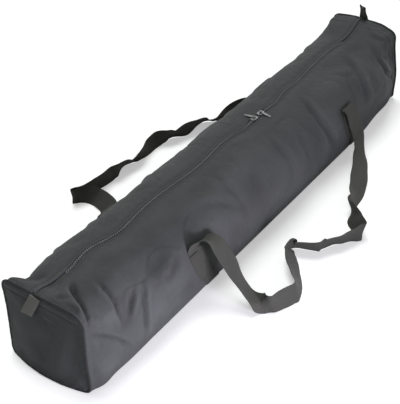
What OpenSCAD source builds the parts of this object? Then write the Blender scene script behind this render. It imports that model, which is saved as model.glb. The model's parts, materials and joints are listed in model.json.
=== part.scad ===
// Long padded carry case with a two-way zip along its top and two webbing carry handles.
// +X runs from the near end to the far end, +Y is the left side, and Z = 0 is the floor.

/* [Case] */
// Length over the two end seams
case_length = 1120; // [900:5:1300]
// Width of the flat end panels, over their piping
end_width = 176; // [160:1:190]
// Height of the end panels, over their piping
end_height = 170; // [160:1:190]
// Corner radius of the end panels
end_corner = 21; // [14:1:24]
// Width of the slumped middle
mid_width = 210; // [200:1:230]
// Height of the slumped middle at the zip
mid_height = 154; // [146:1:158]
// Height of the fold that each top flap turns on
fold_height = 135; // [128:1:138]
// Radius of the two long bottom edges
base_corner = 20; // [12:1:26]
// Length over which the sides swell from an end panel to the middle
swell_run = 150; // [100:5:200]
// Length over which the top drops from an end panel to the middle
drop_run = 58; // [40:1:70]

/* [Layers] */
// Outer woven fabric
fabric = 1.2; // [0.8:0.1:1.6]
// Foam padding
foam = 5; // [3:0.5:6]
// Lining cloth
lining = 0.8; // [0.5:0.1:1.2]
// Radius of the piping round each end panel
piping_r = 2.5; // [2:0.1:3]

/* [Zip] */
// Distance of the zip from the middle of the case at the sliders, towards the left side
zip_offset = 12; // [0:1:20]
// The same distance at the end stops, where the slumped top has shifted less
zip_end_offset = 21; // [0:1:24]
// Half of the gap between the two folded fabric edges
zip_gap = 6.4; // [6.2:0.1:8]
// Width of tape that lies under each fabric edge
tape_under = 8; // [6:0.5:10]
// Thickness of the zip tape
tape = 0.7; // [0.5:0.1:1]
// Half width of the closed chain of teeth
chain_half = 2.9; // [2.7:0.1:3]
// Height of the teeth above the tape
tooth_height = 2.4; // [2:0.1:2.6]
// Distance from one tooth to the next on the same tape
tooth_pitch = 5; // [4:0.2:6]
// Distance from an end seam to the end stop of the zip
zip_inset = 76; // [74:1:120]
// Rest position of the near slider
near_slider_x = 97; // [60:1:100]
// Rest position of the far slider
far_slider_x = 121; // [118:1:180]
// Length of a slider
slider_length = 16; // [14:0.5:17]
// Length of a pull tab
pull_length = 22; // [16:1:28]

/* [Webbing] */
// Width of the handle webbing
web_width = 40; // [30:1:46]
// Thickness of all the webbing
web_thick = 1.6; // [1.2:0.1:2.2]
// Distance between the two stations where the handles are sewn on
handle_span = 555; // [480:5:620]
// Distance of the middle of the handles from the middle of the case
handle_shift = 9; // [0:1:20]
// Height at which the sewn webbing ends and the free handle folds over
handle_height = 113; // [100:1:118]
// How far the sewn webbing leans from that height to the base, towards the far end
strap_lean = 62; // [0:1:70]
// Width of the webbing tab at each end of the zip
tab_width = 24; // [18:1:30]
// Length of those tabs
tab_length = 50; // [40:1:60]
// Distance of the tabs from the middle of the case
tab_offset = 12; // [0:1:20]
// Lean of the tabs towards the left side
tab_lean = 25; // [0:1:40]

/* [Hidden] */

$fn = 32;
clear = 0.3;
fabric_colour = "#3e4244";
foam_colour = "#55585a";
lining_colour = "#2c2e30";
webbing_colour = "#46463f";
zip_colour = "#5a5f60";
metal_colour = "#a5a8a8";

// The case stands on the webbing that passes under it.
floor_z = web_thick;
half_length = case_length / 2;
depth_fabric = fabric;
depth_foam = fabric + foam;
depth_wall = fabric + foam + lining;

// Sides and base start behind the piping, and the end panels lie inside it.
panel_x = half_length - 2 * piping_r;
end_y = end_width / 2 - piping_r;
end_top = floor_z + end_height - piping_r;
mid_y = mid_width / 2;
mid_top = floor_z + mid_height;
fold_z = floor_z + fold_height;

// The shoulder arc of the middle touches the side and the top and passes through the fold line.
shoulder_in = mid_y - end_y;
shoulder_down = mid_top - fold_z;
shoulder_r = shoulder_in + shoulder_down + sqrt(2 * shoulder_in * shoulder_down);
shoulder_y = mid_y - shoulder_r;
shoulder_z = mid_top - shoulder_r;
corner_r = min(end_corner, end_top - fold_z - 4);

// Straight margin beside each end seam, before the sides swell or the top drops
seam_margin = 8;
swell_steps = [0, 0.12, 0.27, 0.45, 0.68, 1];
drop_steps = [0, 0.2, 0.4, 0.6, 0.8, 1];
base_steps = 4;
corner_steps = 4;
handle_z = floor_z + handle_height;
shoulder_low = max(shoulder_z, floor_z + base_corner + 5);
side_levels = [
    shoulder_low,
    (shoulder_low + handle_z) / 2,
    handle_z,
    (handle_z + fold_z) / 2,
    fold_z
];
strap_levels = 3;

// Zip levels and half widths
tape_top = mid_top - fabric;
tape_low = tape_top - tape;
chain_top = tape_top + tooth_height;
tape_inner = 1.9;
tape_outer = zip_gap + tape_under;
padding_edge = tape_outer + 1.6;
flat_rim = 1.5;
zip_half = half_length - zip_inset;
parting_x = (near_slider_x + far_slider_x) / 2;
stop_length = 6;
tooth_lock = 0.45;
post_half = 0.7;
chain_part = post_half + tooth_lock + 0.25;

// Slider plates, flanges and the bar that carries the pull
plate = 1.2;
flange = 1.1;
flange_in = chain_half + chain_part + 0.2;
slider_half = flange_in + flange;
plate_low = chain_top + clear;
plate_top = plate_low + plate;
under_top = tape_low - clear;
bar_r = 0.8;
eye_r = bar_r + 0.25;
ring_r = eye_r + 1.1;
bar_z = plate_top + ring_r + clear;
bar_half = 3.6;
pull_thick = 1.3;
pull_half = 3;
pull_tip = 2.2;
ring_half = 1.2;
pull_reach = ring_r + pull_length;
pull_droop = asin((bar_z - pull_thick / 2 - clear - mid_top) / pull_reach);

// Handle stations and the fold that each handle swings on
near_x = handle_shift - handle_span / 2;
far_x = handle_shift + handle_span / 2;
handle_y = wall_y(handle_z, 0) + web_thick / 2;
swing_z = handle_z + web_thick / 2 + clear;
ribbon_steps = 4;
stand = web_width / 2;

// Tabs at the ends of the zip
tab_r = web_thick + 0.5;
tab_x = half_length + tab_r + clear;
near_tab_z = end_top - 1;
far_tab_z = end_top - 6;

// Routes of the loose handles. Each row is the share of the way from the near to the far station in
// percent, the distance out from the fold, the height, and the direction of the webbing's width.
flat_x = [1, 0, 0];
edge_z = [0, 0, 1];
right_route = [
    [0, 0, swing_z, flat_x],
    [0, 6, swing_z - 0.4, flat_x],
    [0.1, 12.5, swing_z - 3.5, flat_x],
    [0.6, 19, swing_z - 10, flat_x],
    [1.9, 25.5, swing_z - 19, flat_x],
    [4.1, 32, 84.5, [0.95, -0.12, 0.25]],
    [6.8, 40.5, 66, [0.88, -0.18, 0.4]],
    [8.9, 54, 49, [0.8, -0.2, 0.55]],
    [9.6, 75, 34, [0.6, -0.15, 0.78]],
    [8.6, 101, 23, [0.3, -0.05, 0.95]],
    [6.9, 122, stand, edge_z],
    [6.6, 134, stand, edge_z],
    [9, 139.5, stand, edge_z],
    [13.4, 141, stand, edge_z],
    [18.7, 158, stand, edge_z],
    [21.6, 152, stand, edge_z],
    [26.7, 127, stand, edge_z],
    [33.8, 88, stand, edge_z],
    [37.3, 78, stand, edge_z],
    [39.9, 94, stand, edge_z],
    [42.4, 124, stand, edge_z],
    [48, 135, stand, edge_z],
    [53.1, 151, stand, edge_z],
    [56.6, 172, stand, edge_z],
    [59.2, 164, stand, edge_z],
    [64.3, 135, stand, edge_z],
    [69.4, 112, stand, edge_z],
    [77.6, 102, stand, edge_z],
    [84.7, 89, 19, [-0.13, -0.3, 0.95]],
    [91.5, 71, 18, [-0.26, -0.42, 0.87]],
    [97.5, 53.5, 18, [-0.36, -0.5, 0.79]],
    [102, 40, 21, [-0.5, -0.5, 0.7]],
    [104.6, 30.5, 31, [-0.66, -0.45, 0.58]],
    [105.2, 24, 46, [-0.82, -0.35, 0.42]],
    [104.2, 19.5, 62, [-0.92, -0.2, 0.28]],
    [102.4, 16, 80, [-0.98, -0.08, 0.12]],
    [100.8, 13, 97, -flat_x],
    [100.2, 10.5, swing_z - 9.5, -flat_x],
    [100.03, 7.5, swing_z - 3.5, -flat_x],
    [100, 4, swing_z - 0.4, -flat_x],
    [100, 0, swing_z, -flat_x]
];
left_route = [
    [0, 0, swing_z, flat_x],
    [0, 4, swing_z - 0.4, flat_x],
    [0.01, 7.5, swing_z - 3.5, flat_x],
    [0.06, 10.5, swing_z - 9.5, flat_x],
    [0.3, 13, 97, flat_x],
    [0.9, 16, 78, flat_x],
    [2, 20, 58, flat_x],
    [3.8, 26, 38, [0.97, -0.15, 0.12]],
    [6.6, 36, 20, [0.93, -0.3, 0.1]],
    [10.2, 50.5, 7.5, [0.87, -0.46, 0.04]],
    [14.2, 69, 2.5, [0.82, -0.55, 0]],
    [17.8, 89, 4, [0.83, -0.48, -0.14]],
    [20.4, 108, 8.5, [0.8, -0.36, -0.42]],
    [21.8, 125, 14.5, [0.55, -0.2, -0.76]],
    [22.2, 140, 18.5, [0.25, -0.08, -0.95]],
    [21.2, 152, stand, -edge_z],
    [18.4, 160.5, stand, -edge_z],
    [17.2, 167.5, stand, -edge_z],
    [18.8, 172.5, stand, -edge_z],
    [22.6, 171, stand, -edge_z],
    [29.7, 160, stand, -edge_z],
    [38.9, 160, stand, -edge_z],
    [44, 152, stand, -edge_z],
    [51.1, 156, stand, -edge_z],
    [59.2, 158, stand, -edge_z],
    [69.4, 139, stand, -edge_z],
    [78.6, 137, stand, -edge_z],
    [84.2, 106, stand, -edge_z],
    [89.8, 86, stand, -edge_z],
    [98.5, 81, stand, -edge_z],
    [103, 71, stand, -edge_z],
    [105.2, 57, stand, [-0.12, 0.05, -0.98]],
    [106, 43, 23, [-0.4, 0.1, -0.9]],
    [105.8, 32, 33, [-0.66, 0.12, -0.72]],
    [105, 25, 47, [-0.84, 0.1, -0.5]],
    [103.7, 20, 63, [-0.94, 0.05, -0.28]],
    [102.2, 16, 80, [-0.99, 0, -0.1]],
    [100.8, 13, 97, -flat_x],
    [100.2, 10.5, swing_z - 9.5, -flat_x],
    [100.03, 7.5, swing_z - 3.5, -flat_x],
    [100, 4, swing_z - 0.4, -flat_x],
    [100, 0, swing_z, -flat_x]
];

function lerp(a, b, t) = a + (b - a) * t;
function unit(v) = v / norm(v);
function ease(t) = 1 - pow(1 - t, 3);
function smooth(t) = t * t * (3 - 2 * t);

// Distance of the zip from the middle of the case at X: straight from the open stretch to each end stop
function zip_y(x) = lookup(x, [
    [-panel_x, tab_offset], [-zip_half, zip_end_offset],
    [parting_x, zip_offset],
    [zip_half, zip_end_offset], [panel_x, tab_offset]
]);
// Turn of the zip about the vertical at X, between the end stops
function line_turn(x) = atan((zip_end_offset - zip_offset) / ((x < parting_x ? -zip_half : zip_half) - parting_x));

// Half width of the middle section at a height, at a depth below its outer face
function wall_y(z, depth) = z <= shoulder_z
    ? mid_y - depth
    : shoulder_y + sqrt(pow(shoulder_r - depth, 2) - pow(z - shoulder_z, 2));

// Left half of the side, from the base edge up to the fold, at a share of the swell and a depth
function side_line(share, depth) = concat(
    [for (k = [0 : base_steps])
        let (a = -90 + 90 * k / base_steps, y = lerp(end_y, mid_y, share) - base_corner)
        [y + (base_corner - depth) * cos(a), floor_z + base_corner + (base_corner - depth) * sin(a)]],
    [for (z = side_levels) [lerp(end_y - depth, wall_y(z, depth), share), z]]
);

// Left flap from the fold to a distance from the middle of the case, at a share of the drop and a depth
function flap_line(share, depth, edge) =
    let (
        low = fold_z + clear,
        start = asin((low - shoulder_z) / shoulder_r),
        top_y = max(shoulder_y, edge + flat_rim),
        stop = acos((top_y - shoulder_y) / (shoulder_r - depth)),
        end_points = concat(
            [[end_y - depth, low]],
            [for (k = [0 : corner_steps])
                let (a = 90 * k / corner_steps)
                [end_y - corner_r + (corner_r - depth) * cos(a),
                 end_top - corner_r + (corner_r - depth) * sin(a)]],
            [[edge, end_top - depth]]
        ),
        mid_points = concat(
            [[wall_y(low, depth), low]],
            [for (k = [1 : corner_steps + 1])
                let (a = lerp(start, stop, k / (corner_steps + 1)))
                [shoulder_y + (shoulder_r - depth) * cos(a), shoulder_z + (shoulder_r - depth) * sin(a)]],
            [[edge, mid_top - depth]]
        )
    )
    [for (k = [0 : len(mid_points) - 1]) lerp(end_points[k], mid_points[k], share)];

// Stations along the case: X and the share of the swell or of the drop there
function stations(last, run, steps, curve) =
    let (half = concat([[0, 0]], [for (t = steps) [seam_margin + run * t, t]]))
    concat(
        [for (h = half) [-last + h[0], curve == "swell" ? ease(h[1]) : smooth(h[1])]],
        [for (k = [len(half) - 1 : -1 : 0])
            [last - half[k][0], curve == "swell" ? ease(half[k][1]) : smooth(half[k][1])]]
    );
side_stations = stations(panel_x, swell_run, swell_steps, "swell");
flap_ends = stations(panel_x - clear, drop_run, drop_steps, "drop");
flap_stations = [
    for (k = [0 : len(flap_ends) - 1]) each concat(
        [flap_ends[k]],
        k == len(flap_ends) / 2 - 1 ? [for (x = [-zip_half, parting_x, zip_half]) [x, 1]] : []
    )
];

function on_x(x, line) = [for (p = line) [x, p[0], p[1]]];
function mirrored(line) = [for (k = [len(line) - 1 : -1 : 0]) [-line[k][0], line[k][1]]];

// Closed shell between two grids of points, every cell split along the same diagonal
module shell(outer, inner) {
    rows = len(outer);
    columns = len(outer[0]);
    count = rows * columns;
    function o(i, j) = i * columns + j;
    function n(i, j) = count + i * columns + j;
    cells = [for (i = [0 : rows - 2], j = [0 : columns - 2]) each [
        [o(i, j), o(i + 1, j), o(i + 1, j + 1)], [o(i, j), o(i + 1, j + 1), o(i, j + 1)],
        [n(i, j), n(i + 1, j + 1), n(i + 1, j)], [n(i, j), n(i, j + 1), n(i + 1, j + 1)]
    ]];
    e = rows - 1;
    f = columns - 1;
    end_rims = [for (j = [0 : f - 1]) each [
        [o(0, j), o(0, j + 1), n(0, j + 1)], [o(0, j), n(0, j + 1), n(0, j)],
        [o(e, j), n(e, j + 1), o(e, j + 1)], [o(e, j), n(e, j), n(e, j + 1)]
    ]];
    long_rims = [for (i = [0 : e - 1]) each [
        [o(i, 0), n(i, 0), n(i + 1, 0)], [o(i, 0), n(i + 1, 0), o(i + 1, 0)],
        [o(i, f), n(i + 1, f), n(i, f)], [o(i, f), o(i + 1, f), n(i + 1, f)]
    ]];
    polyhedron(
        points = concat([for (row = outer) each row], [for (row = inner) each row]),
        faces = concat(cells, end_rims, long_rims)
    );
}

module side_layer(outside, inside) {
    shell(
        [for (s = side_stations) on_x(s[0], side_line(s[1], outside))],
        [for (s = side_stations) on_x(s[0], side_line(s[1], inside))]
    );
}

module base_layer(outside, inside) {
    function edge(s) = lerp(end_y, mid_y, s[1]) - base_corner;
    shell(
        [for (s = side_stations) on_x(s[0], [for (y = [-1, 1]) [y * edge(s), floor_z + outside]])],
        [for (s = side_stations) on_x(s[0], [for (y = [-1, 1]) [y * edge(s), floor_z + inside]])]
    );
}

// side is 1 for the left flap and -1 for the right one, which is mirrored
module flap_layer(side, outside, inside, gap) {
    function edge(x) = side * zip_y(x) + gap;
    mirror([0, side < 0 ? 1 : 0, 0])
        shell(
            [for (s = flap_stations) on_x(s[0], flap_line(s[1], outside, edge(s[0])))],
            [for (s = flap_stations) on_x(s[0], flap_line(s[1], inside, edge(s[0])))]
        );
}

module rounded(w, low, high, r) {
    translate([-w + r, low]) square([2 * (w - r), high - low]);
    translate([-w, low + r]) square([2 * w, high - low - 2 * r]);
    for (y = [-w + r, w - r], z = [low + r, high - r])
        translate([y, z]) circle(r);
}

// Flat plate of an end panel, inset from the seam line, between two depths behind the end face
module end_plate(end, inset, low, outside, inside) {
    mirror([end < 0 ? 1 : 0, 0, 0])
        translate([half_length - inside, 0, 0])
            rotate([90, 0, 90])
                linear_extrude(inside - outside)
                    rounded(end_y - inset, floor_z + low, end_top - inset, corner_r - inset);
}

module piping(end) {
    straight_y = end_y - corner_r;
    straight_z = end_top - floor_z - 2 * corner_r;
    middle_z = (floor_z + end_top) / 2;
    mirror([end < 0 ? 1 : 0, 0, 0])
        translate([half_length - piping_r, 0, 0]) {
            for (z = [floor_z + piping_r, end_top])
                translate([0, -straight_y, z])
                    rotate([-90, 0, 0]) cylinder(r = piping_r, h = 2 * straight_y);
            for (y = [-end_y, end_y])
                translate([0, y, floor_z + piping_r + corner_r])
                    cylinder(r = piping_r, h = straight_z - piping_r);
            for (side = [-1, 1], top = [0, 1])
                translate([0, side * straight_y, top ? end_top - corner_r : floor_z + piping_r + corner_r])
                    rotate([90, 0, 90])
                        rotate([0, 0, top ? (side > 0 ? 0 : 90) : (side > 0 ? 270 : 180)])
                            rotate_extrude(angle = 90)
                                translate([corner_r, 0]) circle(piping_r);
        }
}

// Webbing that runs up one side from under the case to the fold of the other handle
module girth_strap(x) {
    columns = base_steps + strap_levels;
    function half(depth) =
        let (line = side_line(1, depth)) [for (k = [0 : columns]) line[k]];
    function loop(depth) = concat(mirrored(half(depth)), half(depth));
    function leant(e, line) =
        [for (p = line) [e + strap_lean * pow(max(0, 1 - p[1] / handle_z), 1.5), p[0], p[1]]];
    ends = [x - web_width / 2, x + web_width / 2];
    shell([for (e = ends) leant(e, loop(-web_thick))], [for (e = ends) leant(e, loop(0))]);
}

module zip_tape(side) {
    function across(s, drop) =
        let (y = side * zip_y(s[0]), z = lerp(end_top, mid_top, s[1]) - fabric - drop)
        on_x(s[0], [[y + tape_outer, z], [y + tape_inner, z]]);
    mirror([0, side < 0 ? 1 : 0, 0])
        shell([for (s = flap_stations) across(s, 0)], [for (s = flap_stations) across(s, tape)]);
}

// How far the slider posts push the two rows of teeth apart at X
function parting(x) =
    let (
        before = near_slider_x - slider_length / 2,
        after = far_slider_x + slider_length / 2,
        rise = slider_length / 2
    )
    x < before || x > after ? 0 : chain_part * smooth(min(1, (x - before) / rise, (after - x) / rise));

// One row of teeth: a straight cord with a head every pitch that reaches between two of the other row
module zip_teeth(side) {
    count = floor(2 * (zip_half - stop_length) / tooth_pitch) - 1;
    first = -count * tooth_pitch / 2 + (side > 0 ? tooth_pitch / 2 : 0);
    root = 1.5;
    head = tooth_pitch * 0.2;
    neck = tooth_pitch * 0.12;
    function on_zip(x, out) = [x, side * zip_y(x) + out];
    function tooth(x) = [
        on_zip(x - neck, root + parting(x)), on_zip(x - head, parting(x) - tooth_lock),
        on_zip(x + head, parting(x) - tooth_lock), on_zip(x + neck, root + parting(x))
    ];
    inner = [for (k = [0 : count - 1]) each tooth(first + k * tooth_pitch)];
    back = [for (k = [count - 1 : -1 : 0])
        let (x = first + k * tooth_pitch)
        if (parting(x - tooth_pitch) + parting(x + tooth_pitch) > 0) on_zip(x, chain_half + parting(x))];
    ends = [first - tooth_pitch / 2, first + (count - 0.5) * tooth_pitch];
    translate([0, 0, tape_top])
        mirror([0, side < 0 ? 1 : 0, 0])
            linear_extrude(tooth_height)
                polygon(concat(
                    [on_zip(ends[0], root)], inner, [on_zip(ends[1], root)],
                    [on_zip(ends[1], chain_half)], back, [on_zip(ends[0], chain_half)]
                ));
}

// Clamp across the last teeth
module zip_stop(end) {
    translate([end * (zip_half - stop_length / 2), zip_end_offset, tape_top + tooth_height / 2])
        cube([stop_length, 2 * chain_half, tooth_height], center = true);
}

// Slider with its wide end facing the other slider; facing is 1 towards the far end
module slider(x, facing) {
    head = slider_length / 2;
    tail_half = slider_half - 0.9;
    translate([x, zip_y(x), 0])
        rotate([0, 0, line_turn(x)])
        mirror([facing < 0 ? 1 : 0, 0, 0]) {
            for (low = [plate_low, under_top - plate])
                translate([0, 0, low])
                    linear_extrude(plate)
                        polygon([
                            [-head, -tail_half], [-head, tail_half],
                            [-head * 0.2, slider_half], [head * 0.7, slider_half],
                            [head, slider_half - 1.6], [head, -slider_half + 1.6],
                            [head * 0.7, -slider_half], [-head * 0.2, -slider_half]
                        ]);
            for (side = [-1, 1])
                mirror([0, side < 0 ? 1 : 0, 0]) {
                    translate([-head * 0.2, flange_in, tape_top + clear])
                        cube([head * 0.9, flange, plate_low - tape_top - clear]);
                    translate([-head * 0.2, flange_in, under_top])
                        cube([head * 0.9, flange, tape_low - under_top - clear / 2]);
                }
            translate([head * 0.45, 0, under_top - plate])
                linear_extrude(plate_top - under_top + plate)
                    polygon([[-2.4, 0], [0, post_half], [2.6, post_half], [2.6, -post_half], [0, -post_half]]);
            translate([-bar_half, 0, bar_z])
                rotate([0, 90, 0]) cylinder(r = bar_r, h = 2 * bar_half);
            for (e = [-bar_half - bar_r, bar_half - bar_r])
                translate([e, -bar_r, plate_top])
                    cube([2 * bar_r, 2 * bar_r, bar_z - plate_top + bar_r]);
        }
}

// Pull tab whose ring turns on the slider's bar; side is the way it lies
module pull(x, side) {
    translate([x, zip_y(x), bar_z])
        rotate([0, 0, line_turn(x)])
        mirror([0, side < 0 ? 1 : 0, 0])
            rotate([-pull_droop, 0, 0]) {
            difference() {
                union() {
                    translate([-ring_half, 0, 0]) rotate([0, 90, 0]) cylinder(r = ring_r, h = 2 * ring_half);
                    translate([-ring_half, 0, -pull_thick / 2])
                        cube([2 * ring_half, ring_r + 2, pull_thick]);
                }
                translate([-ring_half - 1, 0, 0])
                    rotate([0, 90, 0]) cylinder(r = eye_r, h = 2 * ring_half + 2);
            }
            translate([0, 0, -pull_thick / 2])
                linear_extrude(pull_thick)
                    difference() {
                        polygon([
                            [-ring_half, ring_r + 1], [ring_half, ring_r + 1],
                            [pull_half, ring_r + 6], [pull_tip, pull_reach],
                            [-pull_tip, pull_reach], [-pull_half, ring_r + 6]
                        ]);
                        translate([0, pull_reach - 5]) circle(1.2);
                    }
        }
}

// Smooth curve through the route's points
function spline(a, b, c, d, t) =
    0.5 * (2 * b + (c - a) * t + (2 * a - 5 * b + 4 * c - d) * t * t + (3 * b - a - 3 * c + d) * t * t * t);
function route_place(row, side) =
    [lerp(near_x, far_x, row[0] / 100), side * (handle_y + row[1]), row[2]];
function route_width(row, side) = [row[3][0], side * row[3][1], row[3][2]];
function along(list) =
    let (last = len(list) - 1)
    [for (k = [0 : last - 1], q = [0 : ribbon_steps - (k < last - 1 ? 1 : 0)])
        spline(list[max(k - 1, 0)], list[k], list[k + 1], list[min(k + 2, last)], q / ribbon_steps)];

// Flat webbing along a route, raised where it would reach through the floor
module ribbon(route, side) {
    path = along([for (row = route) route_place(row, side)]);
    widths = along([for (row = route) route_width(row, side)]);
    last = len(path) - 1;
    function corners(k) =
        let (
            t = unit(path[min(k + 1, last)] - path[max(k - 1, 0)]),
            w = unit(widths[k] - (widths[k] * t) * t) * web_width / 2,
            n = cross(t, unit(w)) * web_thick / 2,
            lift = max(0, abs(w[2]) + abs(n[2]) - path[k][2]),
            p = path[k] + [0, 0, lift]
        )
        [p + w + n, p - w + n, p - w - n, p + w - n];
    m = 4 * last;
    polyhedron(
        points = [for (k = [0 : last]) each corners(k)],
        faces = concat(
            [[0, 1, 2], [0, 2, 3], [m, m + 2, m + 1], [m, m + 3, m + 2]],
            [for (k = [0 : last - 1], c = [0 : 3])
                let (a = 4 * k + c, b = 4 * k + (c + 1) % 4)
                each c == 2 ? [[a, a + 4, b], [a + 4, b + 4, b]] : [[a, a + 4, b + 4], [a, b + 4, b]]]
        )
    );
}

// Folded loop of webbing that turns on its sewn root; hang is -1 where it hangs and 1 where it stands up
module tab(end, z, hang) {
    translate([end * tab_x, tab_offset, z])
        rotate([-hang * tab_lean, 0, 0])
            translate([0, tab_width / 2, 0])
                rotate([90, 0, 0])
                    linear_extrude(tab_width)
                        difference() {
                            loop_shape(tab_r, 0, hang * (tab_length - tab_r));
                            loop_shape(tab_r - web_thick, hang * 6, hang * (tab_length - tab_r));
                        }
}

module loop_shape(r, low, high) {
    translate([-r, min(low, high)]) square([2 * r, abs(high - low)]);
    for (y = [low, high]) translate([0, y]) circle(r);
}

module base_panel() { color(fabric_colour) base_layer(0, depth_fabric); }
module base_foam() { color(foam_colour) base_layer(depth_fabric, depth_foam); }
module base_lining() { color(lining_colour) base_layer(depth_foam, depth_wall); }

module left_side_panel() { color(fabric_colour) side_layer(0, depth_fabric); }
module left_side_foam() { color(foam_colour) side_layer(depth_fabric, depth_foam); }
module left_side_lining() { color(lining_colour) side_layer(depth_foam, depth_wall); }
module right_side_panel() { mirror([0, 1, 0]) left_side_panel(); }
module right_side_foam() { mirror([0, 1, 0]) left_side_foam(); }
module right_side_lining() { mirror([0, 1, 0]) left_side_lining(); }

end_front = piping_r / 2;
end_inset = depth_wall + clear;
module end_panel(end) {
    color(fabric_colour) end_plate(end, piping_r, 2 * piping_r, end_front, end_front + fabric);
}
module end_foam(end) {
    color(foam_colour) end_plate(end, end_inset, end_inset, end_front + depth_fabric, end_front + depth_foam);
}
module end_lining(end) {
    color(lining_colour) end_plate(end, end_inset, end_inset, end_front + depth_foam, end_front + depth_wall);
}
module near_end_panel() { end_panel(-1); }
module near_end_foam() { end_foam(-1); }
module near_end_lining() { end_lining(-1); }
module near_end_piping() { color(fabric_colour) piping(-1); }
module far_end_panel() { end_panel(1); }
module far_end_foam() { end_foam(1); }
module far_end_lining() { end_lining(1); }
module far_end_piping() { color(fabric_colour) piping(1); }

module near_girth_strap() { color(webbing_colour) girth_strap(near_x); }
module far_girth_strap() { color(webbing_colour) girth_strap(far_x); }

module left_flap_panel() { color(fabric_colour) flap_layer(1, 0, depth_fabric, zip_gap); }
module left_flap_foam() { color(foam_colour) flap_layer(1, depth_fabric, depth_foam, padding_edge); }
module left_flap_lining() { color(lining_colour) flap_layer(1, depth_foam, depth_wall, padding_edge); }
module right_flap_panel() { color(fabric_colour) flap_layer(-1, 0, depth_fabric, zip_gap); }
module right_flap_foam() { color(foam_colour) flap_layer(-1, depth_fabric, depth_foam, padding_edge); }
module right_flap_lining() { color(lining_colour) flap_layer(-1, depth_foam, depth_wall, padding_edge); }

module left_zip_tape() { color(zip_colour) zip_tape(1); }
module right_zip_tape() { color(zip_colour) zip_tape(-1); }
module left_zip_teeth() { color(zip_colour) zip_teeth(1); }
module right_zip_teeth() { color(zip_colour) zip_teeth(-1); }
module near_zip_stop() { color(metal_colour) zip_stop(-1); }
module far_zip_stop() { color(metal_colour) zip_stop(1); }
module near_slider() { color(metal_colour) slider(near_slider_x, 1); }
module far_slider() { color(metal_colour) slider(far_slider_x, -1); }
module near_pull() { color(metal_colour) pull(near_slider_x, 1); }
module far_pull() { color(metal_colour) pull(far_slider_x, -1); }

module left_handle() { color(webbing_colour) ribbon(left_route, 1); }
module right_handle() { color(webbing_colour) ribbon(right_route, -1); }
module near_tab() { color(webbing_colour) tab(-1, near_tab_z, -1); }
module far_tab() { color(webbing_colour) tab(1, far_tab_z, 1); }

base_panel();
base_foam();
base_lining();
left_side_panel();
left_side_foam();
left_side_lining();
right_side_panel();
right_side_foam();
right_side_lining();
near_end_panel();
near_end_foam();
near_end_lining();
near_end_piping();
far_end_panel();
far_end_foam();
far_end_lining();
far_end_piping();
near_girth_strap();
far_girth_strap();
left_flap_panel();
left_flap_foam();
left_flap_lining();
right_flap_panel();
right_flap_foam();
right_flap_lining();
left_zip_tape();
right_zip_tape();
left_zip_teeth();
right_zip_teeth();
near_zip_stop();
far_zip_stop();
near_slider();
far_slider();
near_pull();
far_pull();
left_handle();
right_handle();
near_tab();
far_tab();
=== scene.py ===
"""Long padded carry case: its fabric, webbing and zip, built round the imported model.

All shapes are worked out in millimetres and put into meshes in metres. +X runs from the near end to
the far end, +Y is the left side, and Z = 0 is the floor.
"""

import json
import math

import bpy
import numpy as np
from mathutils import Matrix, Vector


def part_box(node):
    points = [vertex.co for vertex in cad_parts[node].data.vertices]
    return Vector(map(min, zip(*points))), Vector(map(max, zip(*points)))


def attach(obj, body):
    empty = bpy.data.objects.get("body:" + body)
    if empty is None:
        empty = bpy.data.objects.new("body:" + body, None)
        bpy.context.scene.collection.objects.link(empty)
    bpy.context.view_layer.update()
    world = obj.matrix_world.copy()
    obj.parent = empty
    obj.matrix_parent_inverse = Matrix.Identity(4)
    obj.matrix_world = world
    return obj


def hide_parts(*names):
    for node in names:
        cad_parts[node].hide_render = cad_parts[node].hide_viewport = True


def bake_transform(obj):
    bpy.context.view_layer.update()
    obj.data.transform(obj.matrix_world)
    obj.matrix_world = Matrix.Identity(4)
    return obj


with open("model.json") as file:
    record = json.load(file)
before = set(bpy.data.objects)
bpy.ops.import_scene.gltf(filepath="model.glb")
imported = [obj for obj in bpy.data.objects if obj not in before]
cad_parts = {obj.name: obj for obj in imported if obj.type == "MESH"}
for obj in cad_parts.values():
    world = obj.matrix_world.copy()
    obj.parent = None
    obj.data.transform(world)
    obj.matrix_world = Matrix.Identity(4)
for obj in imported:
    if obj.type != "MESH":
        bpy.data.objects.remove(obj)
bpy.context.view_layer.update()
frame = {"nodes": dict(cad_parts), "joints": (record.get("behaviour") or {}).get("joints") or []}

bl_info = {
    "name": "Padded carry case",
    "version": (1, 0, 0),
    "blender": (4, 5, 0),
    "location": "3D View > Sidebar > Carry case",
    "description": "Builds a long padded case with a two-way zip and webbing handles round a packed model",
    "category": "Object",
}

MM = 0.001
WHITE = (1, 1, 1, 1)
LEFT, RIGHT = 1, -1
NEAR, FAR = -1, 1
SIDE_NAMES = {LEFT: "left", RIGHT: "right"}
END_NAMES = {NEAR: "near", FAR: "far"}


def node_box(node):
    """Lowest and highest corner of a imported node, in millimetres."""
    return [np.array(corner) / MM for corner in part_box(node)]


def joint_place(name):
    """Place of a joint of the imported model, in millimetres."""
    found = [j for j in frame["joints"] if j["name"] == name]
    return np.array(found[0]["pos_m"]) / MM


def size_property(label, words, value, low, high, **more):
    """Number between two limits, in millimetres where it is a length."""
    return bpy.props.FloatProperty(name=label, description=words, default=value, min=low, max=high, **more)


def colour_property(label, words, value):
    """Colour with a picker, in linear light."""
    return bpy.props.FloatVectorProperty(
        name=label, description=words, default=value, size=3, min=0, max=1, subtype="COLOR")


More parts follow.
